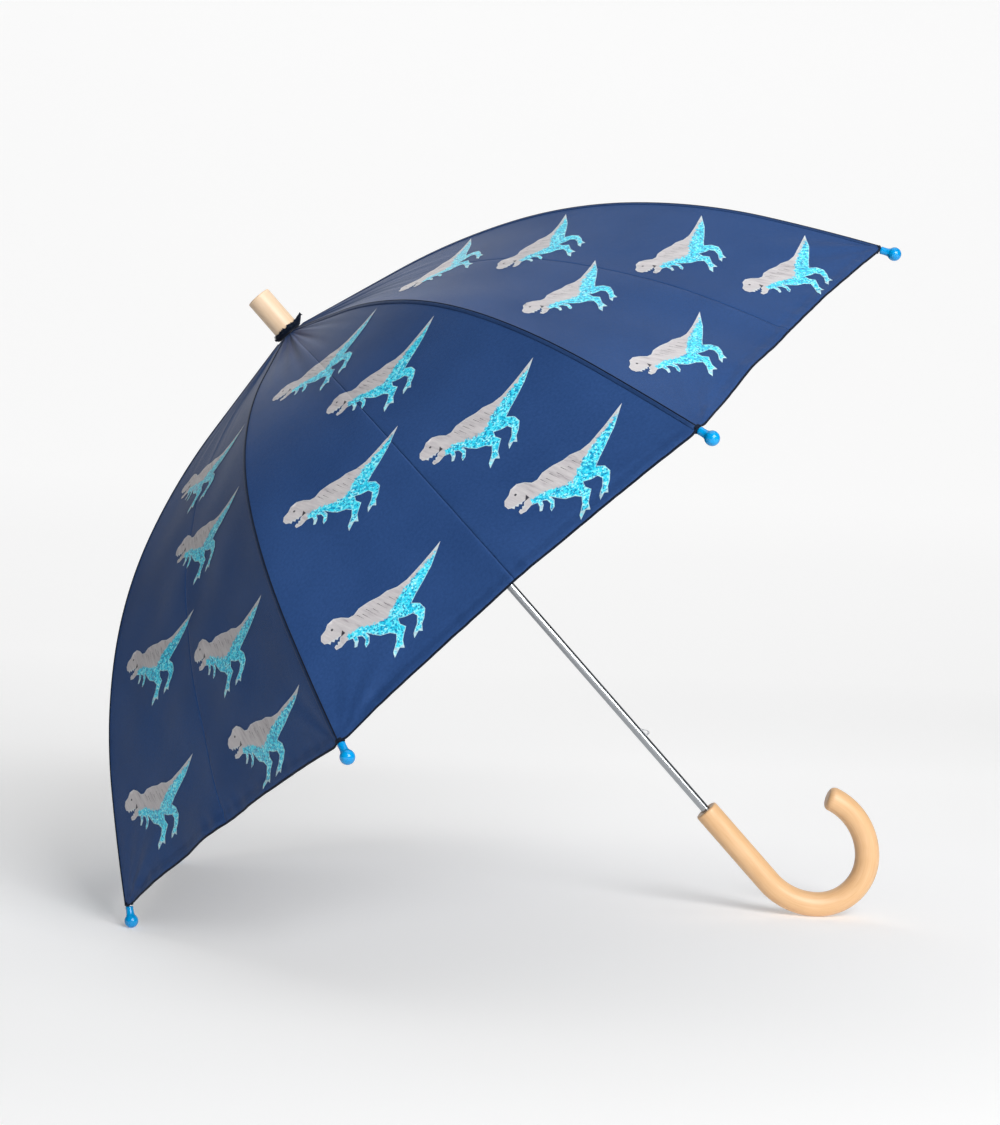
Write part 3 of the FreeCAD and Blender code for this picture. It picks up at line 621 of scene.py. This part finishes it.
# ------------------------------------------------------------- canopy
def spaced(count, ease):
    """Shares from 0 to 1, closer together at both ends."""
    even = np.linspace(0, 1, count)
    return even - ease * np.sin(2 * math.pi * even)


HALF_COLUMNS = spaced(50, 0.09)
COLUMNS = np.concatenate([-HALF_COLUMNS[:0:-1], HALF_COLUMNS])
ROWS = np.concatenate([np.linspace(0, 0.90, 66)[:-1], np.linspace(0.90, 1, 27)])


def section_grid(rib, rows, lift=0.0):
    """Points and flat places of the cloth round one rib, from the middle of one gore to the next."""
    points = []
    flat = []
    for column in COLUMNS:
        gore, across = beside_rib(rib, column)
        along = CLOTH_START + (hem_at(across) - CLOTH_START) * rows
        points.append(cloth_point(gore, along, np.full_like(along, across), lift))
        flat.append(np.stack([cloth_rim(along) * column, along], axis=-1))
    points = np.array(points).transpose(1, 0, 2).reshape(-1, 3)
    flat = np.array(flat).transpose(1, 0, 2).reshape(-1, 2)
    return points, flat


# Each section and print has its own part of the weave: metres from one to the next.
SECTION_SHIFT = 0.5
PRINT_SHIFT = 0.3


def make_section(rib):
    points, flat = section_grid(rib, ROWS)
    faces = grid_faces(len(ROWS), len(COLUMNS), flip=True)
    section = mesh_object("canopy_section_%d" % rib, points, faces, flat + [SECTION_SHIFT * rib, 0])
    paint(section, CLOTH, LINING)
    thicken(section, CLOTH_THICKNESS, inner_slot=1)
    sharpen_rib(section, rib)
    return section


def sharpen_rib(section, rib):
    """The cloth turns a crisp corner where it lies over its rib."""
    own = to_own([vertex.co for vertex in section.data.vertices])
    azimuth = rib_azimuth(rib)
    aside = -own[:, 0] * math.sin(azimuth) + own[:, 1] * math.cos(azimuth)
    on_rib = np.abs(aside) < 1e-5
    ends = np.empty(len(section.data.edges) * 2, np.int32)
    section.data.edges.foreach_get("vertices", ends)
    sharp = on_rib[ends].reshape(-1, 2).all(axis=1)
    layer = section.data.attributes.get("sharp_edge")
    if layer is None:
        layer = section.data.attributes.new("sharp_edge", "BOOLEAN", "EDGE")
    layer.data.foreach_set("value", sharp)


def make_hem(rib):
    """Turned hem: a dark rolled edge and the folded band behind it."""
    profile = [(-0.0050, -0.00042), (-0.0050, -0.00075), (-0.0004, -0.00075), (0.0004, -0.00045),
               (0.00055, 0.0), (0.0003, 0.00030), (-0.0004, 0.00028), (-0.0009, 0.00010), (-0.0009, -0.00035)]
    points = []
    flat = []
    for column in COLUMNS:
        gore, across = beside_rib(rib, column)
        for down, lift in profile:
            along = float(hem_at(across)) + down
            points.append(cloth_point(gore, along, across, lift))
            flat.append((float(cloth_rim(along)) * column, along))
    faces = capped_faces(len(COLUMNS), len(profile), flip=True)
    hem = mesh_object("canopy_hem_%d" % rib, points, faces, flat)
    paint(hem, BINDING_AND_GROOVE_SHADE)
    return hem


# Where the seam's fold and the painted shade of its groove begin below the cloth's start, and how much
# shorter they are than it.
FOLD_INSET, FOLD_TRIM = 0.0035, 0.0045
GROOVE_SHADE_INSET, GROOVE_SHADE_TRIM = 0.003, 0.004


def make_seam(rib):
    """Felled seam beside the rib: a flat fold of the cloth, and a dark bead of painted shade next to it."""
    rows = np.linspace(0, 1, 90)
    profile = [(0.0002, 0.00004), (0.0004, 0.00036), (0.0010, 0.00046), (0.0022, 0.00044), (0.0029, 0.00030),
               (0.0031, 0.00002)]
    points = []
    flat = []
    for share in rows:
        along = CLOTH_START + FOLD_INSET + (CLOTH_END - CORNER_CUT - CLOTH_START - FOLD_TRIM) * share
        rim = float(cloth_rim(along))
        for side, lift in profile:
            width = min(side, rim * 0.8)
            points.append(cloth_point(gore_before(rib), along, 1 - width / rim, lift))
            flat.append((side, along))
    fold = mesh_object("fold", points, capped_faces(len(rows), len(profile)), flat)
    paint(fold, FOLD)
    # Painted shade: a thin dark bead along the rib stands where the seam's groove lies in shadow.
    along = CLOTH_START + GROOVE_SHADE_INSET + (CLOTH_END - CORNER_CUT - CLOTH_START - GROOVE_SHADE_TRIM) * rows
    ridge = cloth_point(rib, along, np.full_like(along, -1.0), 0.00006)
    groove_shade = tube("groove_shade", ridge, 0.00050, 6)
    paint(groove_shade, BINDING_AND_GROOVE_SHADE)
    return join("canopy_seam_%d" % rib, [fold, groove_shade])


# Thread loops round the rib: distance along it, half width, half height and radius of the thread.
TIES = [
    (0.1500, 0.00205, 0.00155, 0.00022),
    (0.1530, 0.00205, 0.00155, 0.00022),
    (0.3180, 0.00205, 0.00155, 0.00022),
    (0.3210, 0.00205, 0.00155, 0.00022),
    (0.4478, 0.00250, 0.00240, 0.00060),
    (0.4488, 0.00265, 0.00255, 0.00060),
]


def make_ties(rib):
    """Thread that ties the seam to the rib in two places, and the loop that holds the cloth to the tip."""
    azimuth = rib_azimuth(rib)
    outward = np.array([math.cos(azimuth), math.sin(azimuth), 0.0])
    tangent = np.array([-math.sin(azimuth), math.cos(azimuth), 0.0])
    loops = []
    for number, (along, wide, high, thread) in enumerate(TIES):
        radius, height, slope = (float(value) for value in rib_point(along))
        centre = outward * radius + np.array([0, 0, height])
        normal = outward * math.sin(slope) + np.array([0, 0, math.cos(slope)])
        path = []
        for step in range(21):
            angle = 2 * math.pi * step / 20
            path.append(centre + tangent * wide * math.cos(angle) + normal * high * math.sin(angle))
        loops.append(tube("loop_%d" % number, to_row(path), thread, 6))
        paint(loops[-1], BINDING_AND_GROOVE_SHADE)
    return join("thread_ties_%d" % rib, loops)


# ------------------------------------------------------------- print
# One walking dinosaur in millimetres: x from its snout to its tail, y towards the hub.
DINOSAUR_BACK = [
    (0.6, -9.0), (0.2, -5.8), (2.2, -2.8), (6.4, -1.6), (9.6, 0.8), (14.6, 1.0), (18.8, -1.8), (22.0, -5.6),
    (25.6, -6.6), (30.6, -5.2), (38.0, -6.2), (45.0, -8.4), (50.5, -8.8), (57.0, -11.6), (64.5, -12.2),
    (77.0, -10.2), (95.0, -6.4),
]
DINOSAUR_TAIL_AND_LEGS = [
    (81.0, -16.0), (70.0, -21.4), (62.6, -24.6), (57.4, -27.4), (61.2, -31.4), (61.6, -36.6), (57.6, -41.2),
    (54.0, -43.6), (51.6, -47.6), (49.8, -45.6), (45.0, -47.6), (46.6, -44.4), (51.8, -41.0), (55.0, -36.8),
    (53.8, -33.6), (49.2, -32.2), (45.2, -29.8), (44.0, -33.4), (45.8, -37.6), (41.8, -40.8), (39.0, -43.4),
    (36.8, -48.2), (34.6, -46.0), (28.4, -49.2), (29.8, -45.6), (35.4, -41.2), (38.2, -37.2), (35.6, -33.6),
    (30.4, -30.8), (27.2, -26.6), (24.8, -22.4),
]
DINOSAUR_ARMS_AND_JAW = [
    (25.0, -25.8), (22.2, -29.6), (19.0, -30.6), (19.6, -28.2), (21.8, -26.0), (21.6, -22.4), (19.2, -20.6),
    (18.2, -23.4), (15.2, -26.0), (13.6, -25.2), (15.6, -22.6), (16.2, -19.4), (12.4, -17.8), (7.8, -18.8),
    (4.2, -17.8), (4.2, -15.6), (6.0, -14.8), (6.8, -15.8), (8.0, -14.0), (9.0, -14.8), (10.2, -13.0),
    (12.2, -12.2), (9.8, -11.9), (8.8, -12.9), (7.6, -11.3), (6.2, -12.5), (5.0, -10.7), (3.4, -12.0),
    (2.6, -10.2),
]
DINOSAUR = DINOSAUR_BACK + DINOSAUR_TAIL_AND_LEGS + DINOSAUR_ARMS_AND_JAW
# Below this line the dinosaur is blue.
BELLY_LINE = [
    (0, -40), (11, -22), (15, -14.5), (24, -16.5), (33, -22), (41, -24.5), (47, -21),
    (54, -17.5), (66, -14.5), (80, -11.5), (95, -8),
]
# Dark marks on the print: the eye, the corner of the mouth and short strokes on back and thigh.
DARK_MARKS = [
    [(8.8, -4.4), (9.6, -3.7), (10.6, -4.2), (10.4, -5.2), (9.3, -5.4)],
    [(11.6, -12.7), (14.4, -9.4), (14.9, -12.6)],
]
# Each stroke is x, y and length.
STROKES = [
    (27, -8, 6.5), (30, -10, 7.5), (33.5, -9, 8), (37, -12, 6),
    (41, -11, 8), (44.5, -14, 6), (49, -13, 7), (52, -17, 5),
]
STROKE_WIDTH = 0.45
STROKE_LEAN = 0.35
# Middle of each print on a gore: metres along the rib, and aside from the gore's middle.
PRINTS = [(0.156, 0.002), (0.230, 0.024), (0.292, -0.042), (0.328, 0.049), (0.400, 0.068), (0.387, -0.070)]
SNOUT_ASIDE = -0.043
SNOUT_ALONG = -0.0057
PRINT_LIFT = 0.00022
MARK_LIFT = 0.00030
# Millimetres: the net's mesh, how far its inner points keep from outline and cut, and two blends.
NET_STEP = 2.5
OUTLINE_GAP = 0.7
CUT_GAP = 0.8
BELLY_BLEND = 6
RIM_WIDTH = 2.5
MARK_RIM = -RIM_WIDTH


def inside(points, outline):
    """Which points lie inside a closed outline."""
    found = np.zeros(len(points), bool)
    for (ax, ay), (bx, by) in zip(outline, np.roll(outline, -1, axis=0)):
        if ay == by:
            continue
        crosses = (points[:, 1] > ay) != (points[:, 1] > by)
        found ^= crosses & (points[:, 0] < (bx - ax) * (points[:, 1] - ay) / (by - ay) + ax)
    return found


def edge_distance(points, outline):
    """Distance from each point to the nearest side of the outline."""
    nearest = np.full(len(points), np.inf)
    for a, b in zip(outline, np.roll(outline, -1, axis=0)):
        run = b - a
        share = np.clip(((points - a) @ run) / (run @ run), 0, 1)
        nearest = np.minimum(nearest, np.linalg.norm(points - a - share[:, None] * run, axis=1))
    return nearest


def print_net(cut):
    """The dinosaur as triangles in millimetres, with a line of points at x = cut."""
    outline = np.array(DINOSAUR)
    ring = []
    for a, b in zip(outline, np.roll(outline, -1, axis=0)):
        parts = max(1, round(math.dist(a, b) / NET_STEP))
        ring += [a + (b - a) * part / parts for part in range(parts)]
    edges = [(number, (number + 1) % len(ring)) for number in range(len(ring))]
    low = outline.min(axis=0)
    high = outline.max(axis=0)
    columns = np.arange(low[0], high[0], NET_STEP)
    rows = np.arange(low[1], high[1], NET_STEP)
    grid = np.array([(x, y) for x in columns for y in rows])
    clear = inside(grid, outline) & (edge_distance(grid, outline) > OUTLINE_GAP)
    clear &= np.abs(grid[:, 0] - cut) > CUT_GAP
    points = ring + list(grid[clear])
    if low[0] < cut < high[0]:
        first = len(points)
        points += [np.array([cut, y]) for y in np.arange(low[1] - 1, high[1] + 1, NET_STEP)]
        edges += [(number, number + 1) for number in range(first, len(points) - 1)]
    made = delaunay_2d_cdt([Vector(point) for point in points], edges, [], 0, 1e-4)
    corners = np.array([tuple(point) for point in made[0]])
    triangles = np.array([face for face in made[2] if len(face) == 3])
    kept = inside(corners[triangles].mean(axis=1), outline)
    return corners, triangles[kept], edge_distance(corners, outline)


def mark_net():
    """The dark marks as triangles in millimetres, each a fan round its middle."""
    outlines = [np.array(mark) for mark in DARK_MARKS]
    for x, y, length in STROKES:
        foot = np.array([x + STROKE_LEAN * length, y - length])
        outlines.append(np.array([(x, y), (x + STROKE_WIDTH, y - 0.3), foot]))
    corners = []
    triangles = []
    for outline in outlines:
        first = len(corners)
        corners += [outline.mean(axis=0), *outline]
        count = len(outline)
        triangles += [(first, first + 1 + step, first + 1 + (step + 1) % count) for step in range(count)]
    return np.array(corners), np.array(triangles)


def make_prints():
    """The prints of every section: a print that crosses a gore's middle is parted there."""
    parts = {rib: [] for rib in range(1, RIBS + 1)}
    line = np.array(BELLY_LINE)
    marks = mark_net()
    for along, aside in PRINTS:
        snout = (aside + SNOUT_ASIDE, along + SNOUT_ALONG)
        layers = [(*print_net(-snout[0] * 1000), PRINT_LIFT), (*marks, None, MARK_LIFT)]
        for corners, triangles, rim, lift in layers:
            side = snout[0] + corners[:, 0] / 1000
            run = snout[1] - corners[:, 1] / 1000
            under_line = np.interp(corners[:, 0], line[:, 0], line[:, 1]) - corners[:, 1]
            belly = np.clip(0.5 + under_line / BELLY_BLEND, 0, 1)
            if rim is None:
                rim = np.full(len(corners), MARK_RIM)
            across = side / cloth_rim(run)
            on_next = side[triangles].mean(axis=1) > 0
            for gore in range(1, RIBS + 1):
                points = cloth_point(gore, run, across, lift)
                for after, rib in ((False, gore), (True, gore % RIBS + 1)):
                    faces = triangles[on_next == after]
                    if len(faces):
                        parts[rib].append((points, faces, np.stack([side, run], axis=-1), belly, rim))
    return [print_piece(rib, parts[rib]) for rib in range(1, RIBS + 1)]


def print_piece(rib, parts):
    points = []
    faces = []
    flat = []
    belly = []
    rim = []
    for number, (part_points, part_faces, part_flat, part_belly, part_rim) in enumerate(parts):
        used = np.unique(part_faces)
        place = {old: len(points) + new for new, old in enumerate(used)}
        faces += [tuple(place[corner] for corner in face) for face in part_faces]
        points += list(part_points[used])
        flat += list(part_flat[used] + [PRINT_SHIFT * number, 0])
        belly += list(part_belly[used])
        rim += list(np.clip(part_rim[used] / RIM_WIDTH, -1, 1))
    made = mesh_object("dinosaur_print_%d" % rib, points, faces, flat)
    set_points(made, "belly", belly)
    set_points(made, "rim", rim)
    paint(made, FOIL)
    return made


# ------------------------------------------------------------- rib tips
def make_tip(rib):
    """Moulded tip: a ball on a slightly waisted neck with a rounded mouth."""
    radius, height, slope = (float(value) for value in rib_point(RIB_LENGTH))
    azimuth = rib_azimuth(rib)
    flat_run = math.cos(slope)
    outward = np.array([math.cos(azimuth) * flat_run, math.sin(azimuth) * flat_run, -math.sin(slope)])
    centre = to_row([radius * math.cos(azimuth), radius * math.sin(azimuth), height])
    ball = 0.00475
    mouth = -0.0100
    profile = [(0.0013, mouth + 0.0015), (0.0014, mouth + 0.0003), (0.0018, mouth), (0.0023, mouth + 0.0001),
               (0.00262, mouth + 0.0005), (0.00268, mouth + 0.0011), (0.00255, mouth + 0.0022),
               (0.00262, -0.0062), (0.00265, -0.0051), (0.00285, -0.0043)]
    for step in range(16):
        angle = math.radians(41 + 139 * step / 15)
        profile.append((ball * math.sin(angle), -ball * math.cos(angle)))
    profile[-1] = (0.00002, ball)
    axis = outward @ AXES
    tip = turned("rib_tip_cap_%d" % rib, profile, centre, axis, 36)
    paint(tip, BLUE)
    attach(tip, "rib_%d" % rib)
    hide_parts("rib_tip_%d" % rib)


# ------------------------------------------------------------- handle
def handle_path():
    """Points, headings and run along the handle's centre line, in its own plane."""
    at = np.array([0.0, HANDLE_TOP])
    heading = -math.pi / 2
    path = [(at, heading, 0.0)]
    parts = round(HANDLE_STRAIGHT / HANDLE_STEP)
    for part in range(1, parts + 1):
        run = HANDLE_STRAIGHT * part / parts
        path.append((at + np.array([0.0, -run]), heading, run))
    at = path[-1][0]
    run = path[-1][2]
    for radius, degrees in CROOK_ARCS:
        turn = math.radians(degrees)
        centre = at + radius * np.array([-math.sin(heading), math.cos(heading)])
        parts = round(radius * turn / HANDLE_STEP)
        for part in range(1, parts + 1):
            angle = heading + turn * part / parts
            place = centre - radius * np.array([-math.sin(angle), math.cos(angle)])
            path.append((place, angle, run + radius * turn * part / parts))
        at, heading, run = path[-1]
    return path


def make_handle():
    """Crook handle: one bent stick with softened ends and a bore that the shaft enters."""
    path = handle_path()
    total = path[-1][2]
    segments = 56
    face = HANDLE_RADIUS - HANDLE_EDGE_TOP
    rings = [(BORE_DEPTH, BORE_RADIUS), (BORE_EDGE, BORE_RADIUS), (0.0, BORE_RADIUS + BORE_EDGE), (0.0, face)]
    for part in range(1, 7):
        angle = math.pi / 2 * part / 6
        rings.append((HANDLE_EDGE_TOP * (1 - math.cos(angle)), face + HANDLE_EDGE_TOP * math.sin(angle)))
    rings += [(run, HANDLE_RADIUS) for _, _, run in path if 0.003 < run < total - HANDLE_EDGE_END - 0.001]
    blunt = HANDLE_RADIUS - HANDLE_EDGE_END
    for part in range(9):
        angle = math.pi / 2 * part / 8
        run = total - HANDLE_EDGE_END * (1 - math.sin(angle))
        rings.append((run, blunt + HANDLE_EDGE_END * math.cos(angle)))
    rings += [(total, blunt * share) for share in (0.75, 0.4, 0.02)]
    runs = np.array([run for _, _, run in path])
    places = np.array([place for place, _, _ in path])
    headings = np.array([heading for _, heading, _ in path])
    points = []
    flat = []
    for run, radius in rings:
        x = np.interp(run, runs, places[:, 0])
        z = np.interp(run, runs, places[:, 1])
        heading = np.interp(run, runs, headings)
        aside = np.array([-math.sin(heading), 0.0, math.cos(heading)])
        for segment in range(segments):
            angle = 2 * math.pi * segment / segments
            out = aside * math.cos(angle) + np.array([0.0, 1.0, 0.0]) * math.sin(angle)
            points.append(np.array([x, 0.0, z]) + out * radius)
            flat.append((abs(angle - math.pi) * HANDLE_RADIUS, run + (HANDLE_RADIUS - radius)))
    handle = mesh_object("crook_handle", to_row(points), capped_faces(len(rings), segments, flip=True), flat)
    paint(handle, WOOD)
    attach(handle, "shaft")
    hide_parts("wooden_handle")


# ------------------------------------------------------------- rosette
ROSETTE_CORNER = math.radians(-16)


def make_rosette():
    """Pinked cloth ring gathered round the foot of the ferrule, one corner of it standing up."""
    teeth = 18
    columns = teeth * 4
    shares = [0.0, 0.12, 0.3, 0.5, 0.7, 0.86, 1.0]
    base = FERRULE_LOW[2]
    layers = []
    for layer, (reach, rise, phase) in enumerate(((0.0009, 0.0052, 0.0), (0.0020, 0.0034, 2.1))):
        points = []
        flat = []
        for share in shares:
            for column in range(columns):
                angle = 2 * math.pi * column / columns
                tooth = abs((column % 4) - 2) / 2
                ruffle = math.sin(9 * angle + phase) * 0.55 + math.sin(14 * angle + 1.3 + phase) * 0.35
                away = math.remainder(angle - ROSETTE_CORNER, 2 * math.pi)
                corner = math.exp(-(away / 0.30) ** 4)
                notch = 0.52 * (1 - tooth) * (share > 0.9)
                lean = share ** 1.4
                flap = corner * (1 - layer)
                radius = FERRULE_RADIUS - 0.0012 + 0.0018 * min(1.0, 4 * share)
                radius += reach * share * (1 + 0.4 * ruffle * share) + flap * 0.0056 * share
                height = base - 0.0006 * layer - 0.0007 + rise * lean * (0.85 + 0.15 * ruffle) * (1 - notch)
                height += flap * 0.0012 * lean
                points.append((radius * math.cos(angle), radius * math.sin(angle), height))
                flat.append((angle * FERRULE_RADIUS, share * rise))
        faces = grid_faces(len(shares), columns, ring=True)
        ring = mesh_object("ring_%d" % layer, to_row(points), faces, flat)
        paint(ring, BINDING_AND_GROOVE_SHADE)
        thicken(ring, 0.0003, offset=0.0)
        layers.append(ring)
    rosette = join("pinked_rosette", layers)
    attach(rosette, "shaft")
    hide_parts("outer_rosette")


# ------------------------------------------------------------- closing strap
def make_strap():
    """Strap sewn on beside the seam of a rear rib, lying flat, with a stitched border."""
    rows = np.linspace(0, 1, 61)
    profile = [(0.0, 0.0003), (0.0, 0.0008), (0.0004, 0.00115), (0.0012, 0.00125), (0.0016, 0.00100),
               (0.0021, 0.00125), (0.5 * STRAP_WIDTH, 0.00135)]
    profile += [(STRAP_WIDTH - side, lift) for side, lift in reversed(profile[:-1])]
    points = []
    flat = []
    for share in rows:
        along = STRAP_END - STRAP_LENGTH * (1 - share)
        rim = float(cloth_rim(along))
        wave = 0.00025 * math.sin(share * 11) + 0.00015 * math.sin(share * 27 + 1)
        for side, lift in profile:
            raised = lift + (wave + 0.0004 if lift > 0.0009 else 0.0)
            points.append(cloth_point(STRAP_RIB, along, -1 + (STRAP_SIDE + side) / rim, raised))
            flat.append((side, along))
    strap = mesh_object("closing_strap", points, capped_faces(len(rows), len(profile), flip=True), flat)
    paint(strap, CLOTH)
    follow_rib(strap, STRAP_RIB)
    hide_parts("tie_strap")
    return strap


def make_snaps():
    """The two halves of the strap's snap, each with a rolled rim and a raised middle."""
    halves = []
    for number, inset in enumerate((0.010, STRAP_LENGTH - 0.010)):
        along = STRAP_END - inset
        rim = float(cloth_rim(along))
        across = -1 + (STRAP_SIDE + STRAP_WIDTH / 2) / rim
        foot = cloth_point(STRAP_RIB, along, across, 0.0012, smooth=True)
        top = cloth_point(STRAP_RIB, along, across, 0.0022, smooth=True)
        axis = (top - foot) / np.linalg.norm(top - foot)
        profile = [(0.0048, 0.0), (0.0050, 0.0005), (0.0048, 0.0010), (0.0043, 0.00125), (0.0038, 0.00105),
                   (0.0034, 0.0009), (0.0022, 0.0009), (0.0019, 0.0013), (0.0016, 0.0019), (0.0010, 0.0022),
                   (0.00002, 0.0023)]
        halves.append(turned("half_%d" % number, profile, foot, axis, 32))
    snaps = join("snap_fastener", halves)
    paint(snaps, SNAP_METAL)
    follow_rib(snaps, STRAP_RIB)
    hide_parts("strap_snaps")
    return snaps


strap = make_strap()
snaps = make_snaps()
prints = make_prints()
for rib in range(1, RIBS + 1):
    section = make_section(rib)
    follow_rib(section, rib)
    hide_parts("canopy_panel_%d" % rib)
    trims = [make_hem(rib), make_seam(rib), make_ties(rib), prints[rib - 1]]
    for trim in trims:
        follow_rib(trim, rib)
    make_tip(rib)
make_rosette()
make_handle()

CAD_FINISHES = {
    "shaft_tube": SHAFT_STEEL,
    "wooden_ferrule": PEG_WOOD,
    "top_notch": BLACK,
    "runner": BLACK,
    "notch_wire": FRAME_STEEL,
    "runner_wire": FRAME_STEEL,
    "stop_pin": FRAME_STEEL,
    "upper_catch_spring": FRAME_STEEL,
    "lower_catch_spring": FRAME_STEEL,
    "inner_rosette": BINDING_AND_GROOVE_SHADE,
}
for rib in range(1, RIBS + 1):
    for name in ("rib_%d", "stretcher_%d", "stretcher_rivet_%d"):
        CAD_FINISHES[name % rib] = FRAME_STEEL
for name, material in CAD_FINISHES.items():
    paint(frame["nodes"][name], material)


# ------------------------------------------------------------- floor, light and camera
FLOOR_GLOW = 0.20
BACKDROP_GLOW = 0.84


def make_floor():
    """Pale floor that curves up into a backdrop, with painted light: brightest round its middle, dimmer out
    to the sides.
    """
    near, far, bend, top, wide = -4.0, 2.6, 1.6, 5.0, 7.0
    profile = [(near, 0.0), (far, 0.0)]
    for part in range(1, 25):
        angle = math.pi / 2 * part / 24
        profile.append((far + bend * math.sin(angle), bend * (1 - math.cos(angle))))
    profile.append((far + bend, top))
    points = [(side, y, z) for y, z in profile for side in (-wide, wide)]
    floor = mesh_object("floor", points, grid_faces(len(profile), 2))
    made, tree = new_material("pale_floor")
    places = node(tree, "TexCoord").outputs["Object"]
    tone = noise(tree, places, 0.8, 2.0)
    from_middle = node(tree, "Mapping", {
        "Vector": places, "Location": (0.0, -0.3, 0.0), "Scale": (1.0, 0.3, 0.0),
    }).outputs[0]
    away = node(tree, "VectorMath", {0: from_middle}, operation="LENGTH").outputs["Value"]
    # Painted pool of light: the floor's colour and glow fade away from its middle.
    painted_light_pool = level(tree, away, 1.8, 5.0, 1.0, 0.3)
    depth = node(tree, "SeparateXYZ", {0: places}).outputs[1]
    glow = level(tree, depth, -0.5, 3.6, FLOOR_GLOW, BACKDROP_GLOW)
    near_tone = ramp(tree, tone, [(0.3, (0.745, 0.745, 0.750)), (0.7, (0.76, 0.76, 0.76))])
    far_share = level(tree, depth, 1.0, 3.4, 0.0, 1.0)
    pale = mix(tree, far_share, near_tone, (0.25, 0.25, 0.25))
    finish_material(tree, {
        "Base Color": mix(tree, painted_light_pool, (0.15, 0.15, 0.15), pale),
        "Roughness": 0.9,
        "Specular IOR Level": 0.05,
        "Emission Color": (1.0, 1.0, 1.0, 1),
        "Emission Strength": math_node(tree, "MULTIPLY", glow, painted_light_pool),
    })
    paint(floor, made)


def area_light(name, place, target, width, height, power):
    data = bpy.data.lights.new(name, "AREA")
    data.shape = "RECTANGLE"
    data.size = width
    data.size_y = height
    data.energy = power
    lamp = bpy.data.objects.new(name, data)
    bpy.context.scene.collection.objects.link(lamp)
    lamp.location = place
    lamp.rotation_mode = "QUATERNION"
    lamp.rotation_quaternion = (Vector(target) - Vector(place)).to_track_quat("-Z", "Y")


def make_light():
    world = bpy.data.worlds.new("studio")
    bpy.context.scene.world = world
    world.use_nodes = True
    tree = world.node_tree
    background = tree.nodes["Background"]
    sideways = node(tree, "SeparateXYZ", {0: node(tree, "TexCoord").outputs["Generated"]}).outputs[0]
    tree.links.new(level(tree, sideways, -1.0, 1.0, 0.12, 0.62), background.inputs["Strength"])
    middle = (0.0, 0.0, 0.2)
    area_light("overhead", (0.1, 0.1, 2.6), middle, 2.6, 2.2, 17.0)
    area_light("key", (1.1, -2.4, 1.5), middle, 1.6, 1.6, 92.0)
    area_light("sparkle", (0.35, -2.3, 1.5), middle, 0.22, 0.22, 3.0)
    area_light("rear", (-0.9, 2.4, 1.9), middle, 1.6, 1.0, 4.0)


def make_camera():
    """The camera stands a little left of the object's middle, level with the cloth, slightly rolled."""
    aim = Vector(HUB) + Vector((0.1624, 0.0, -0.1623))
    distance = 1.6612
    azimuth = math.radians(-2.3434)
    elevation = math.radians(1.1467)
    roll = math.radians(2.5214)
    level_run = math.cos(elevation)
    back = Vector((math.sin(azimuth) * level_run, -math.cos(azimuth) * level_run, math.sin(elevation)))
    data = bpy.data.cameras.new("camera")
    data.lens = 70.947
    data.sensor_width = 36.0
    data.clip_start = 0.05
    camera = bpy.data.objects.new("camera", data)
    bpy.context.scene.collection.objects.link(camera)
    camera.rotation_mode = "QUATERNION"
    level_view = (-back).to_track_quat("-Z", "Y")
    camera.rotation_quaternion = level_view @ Matrix.Rotation(roll, 3, "Z").to_quaternion()
    camera.location = aim + back * distance
    bpy.context.scene.camera = camera


make_floor()
make_light()
make_camera()
bpy.context.scene.view_settings.view_transform = "Standard"
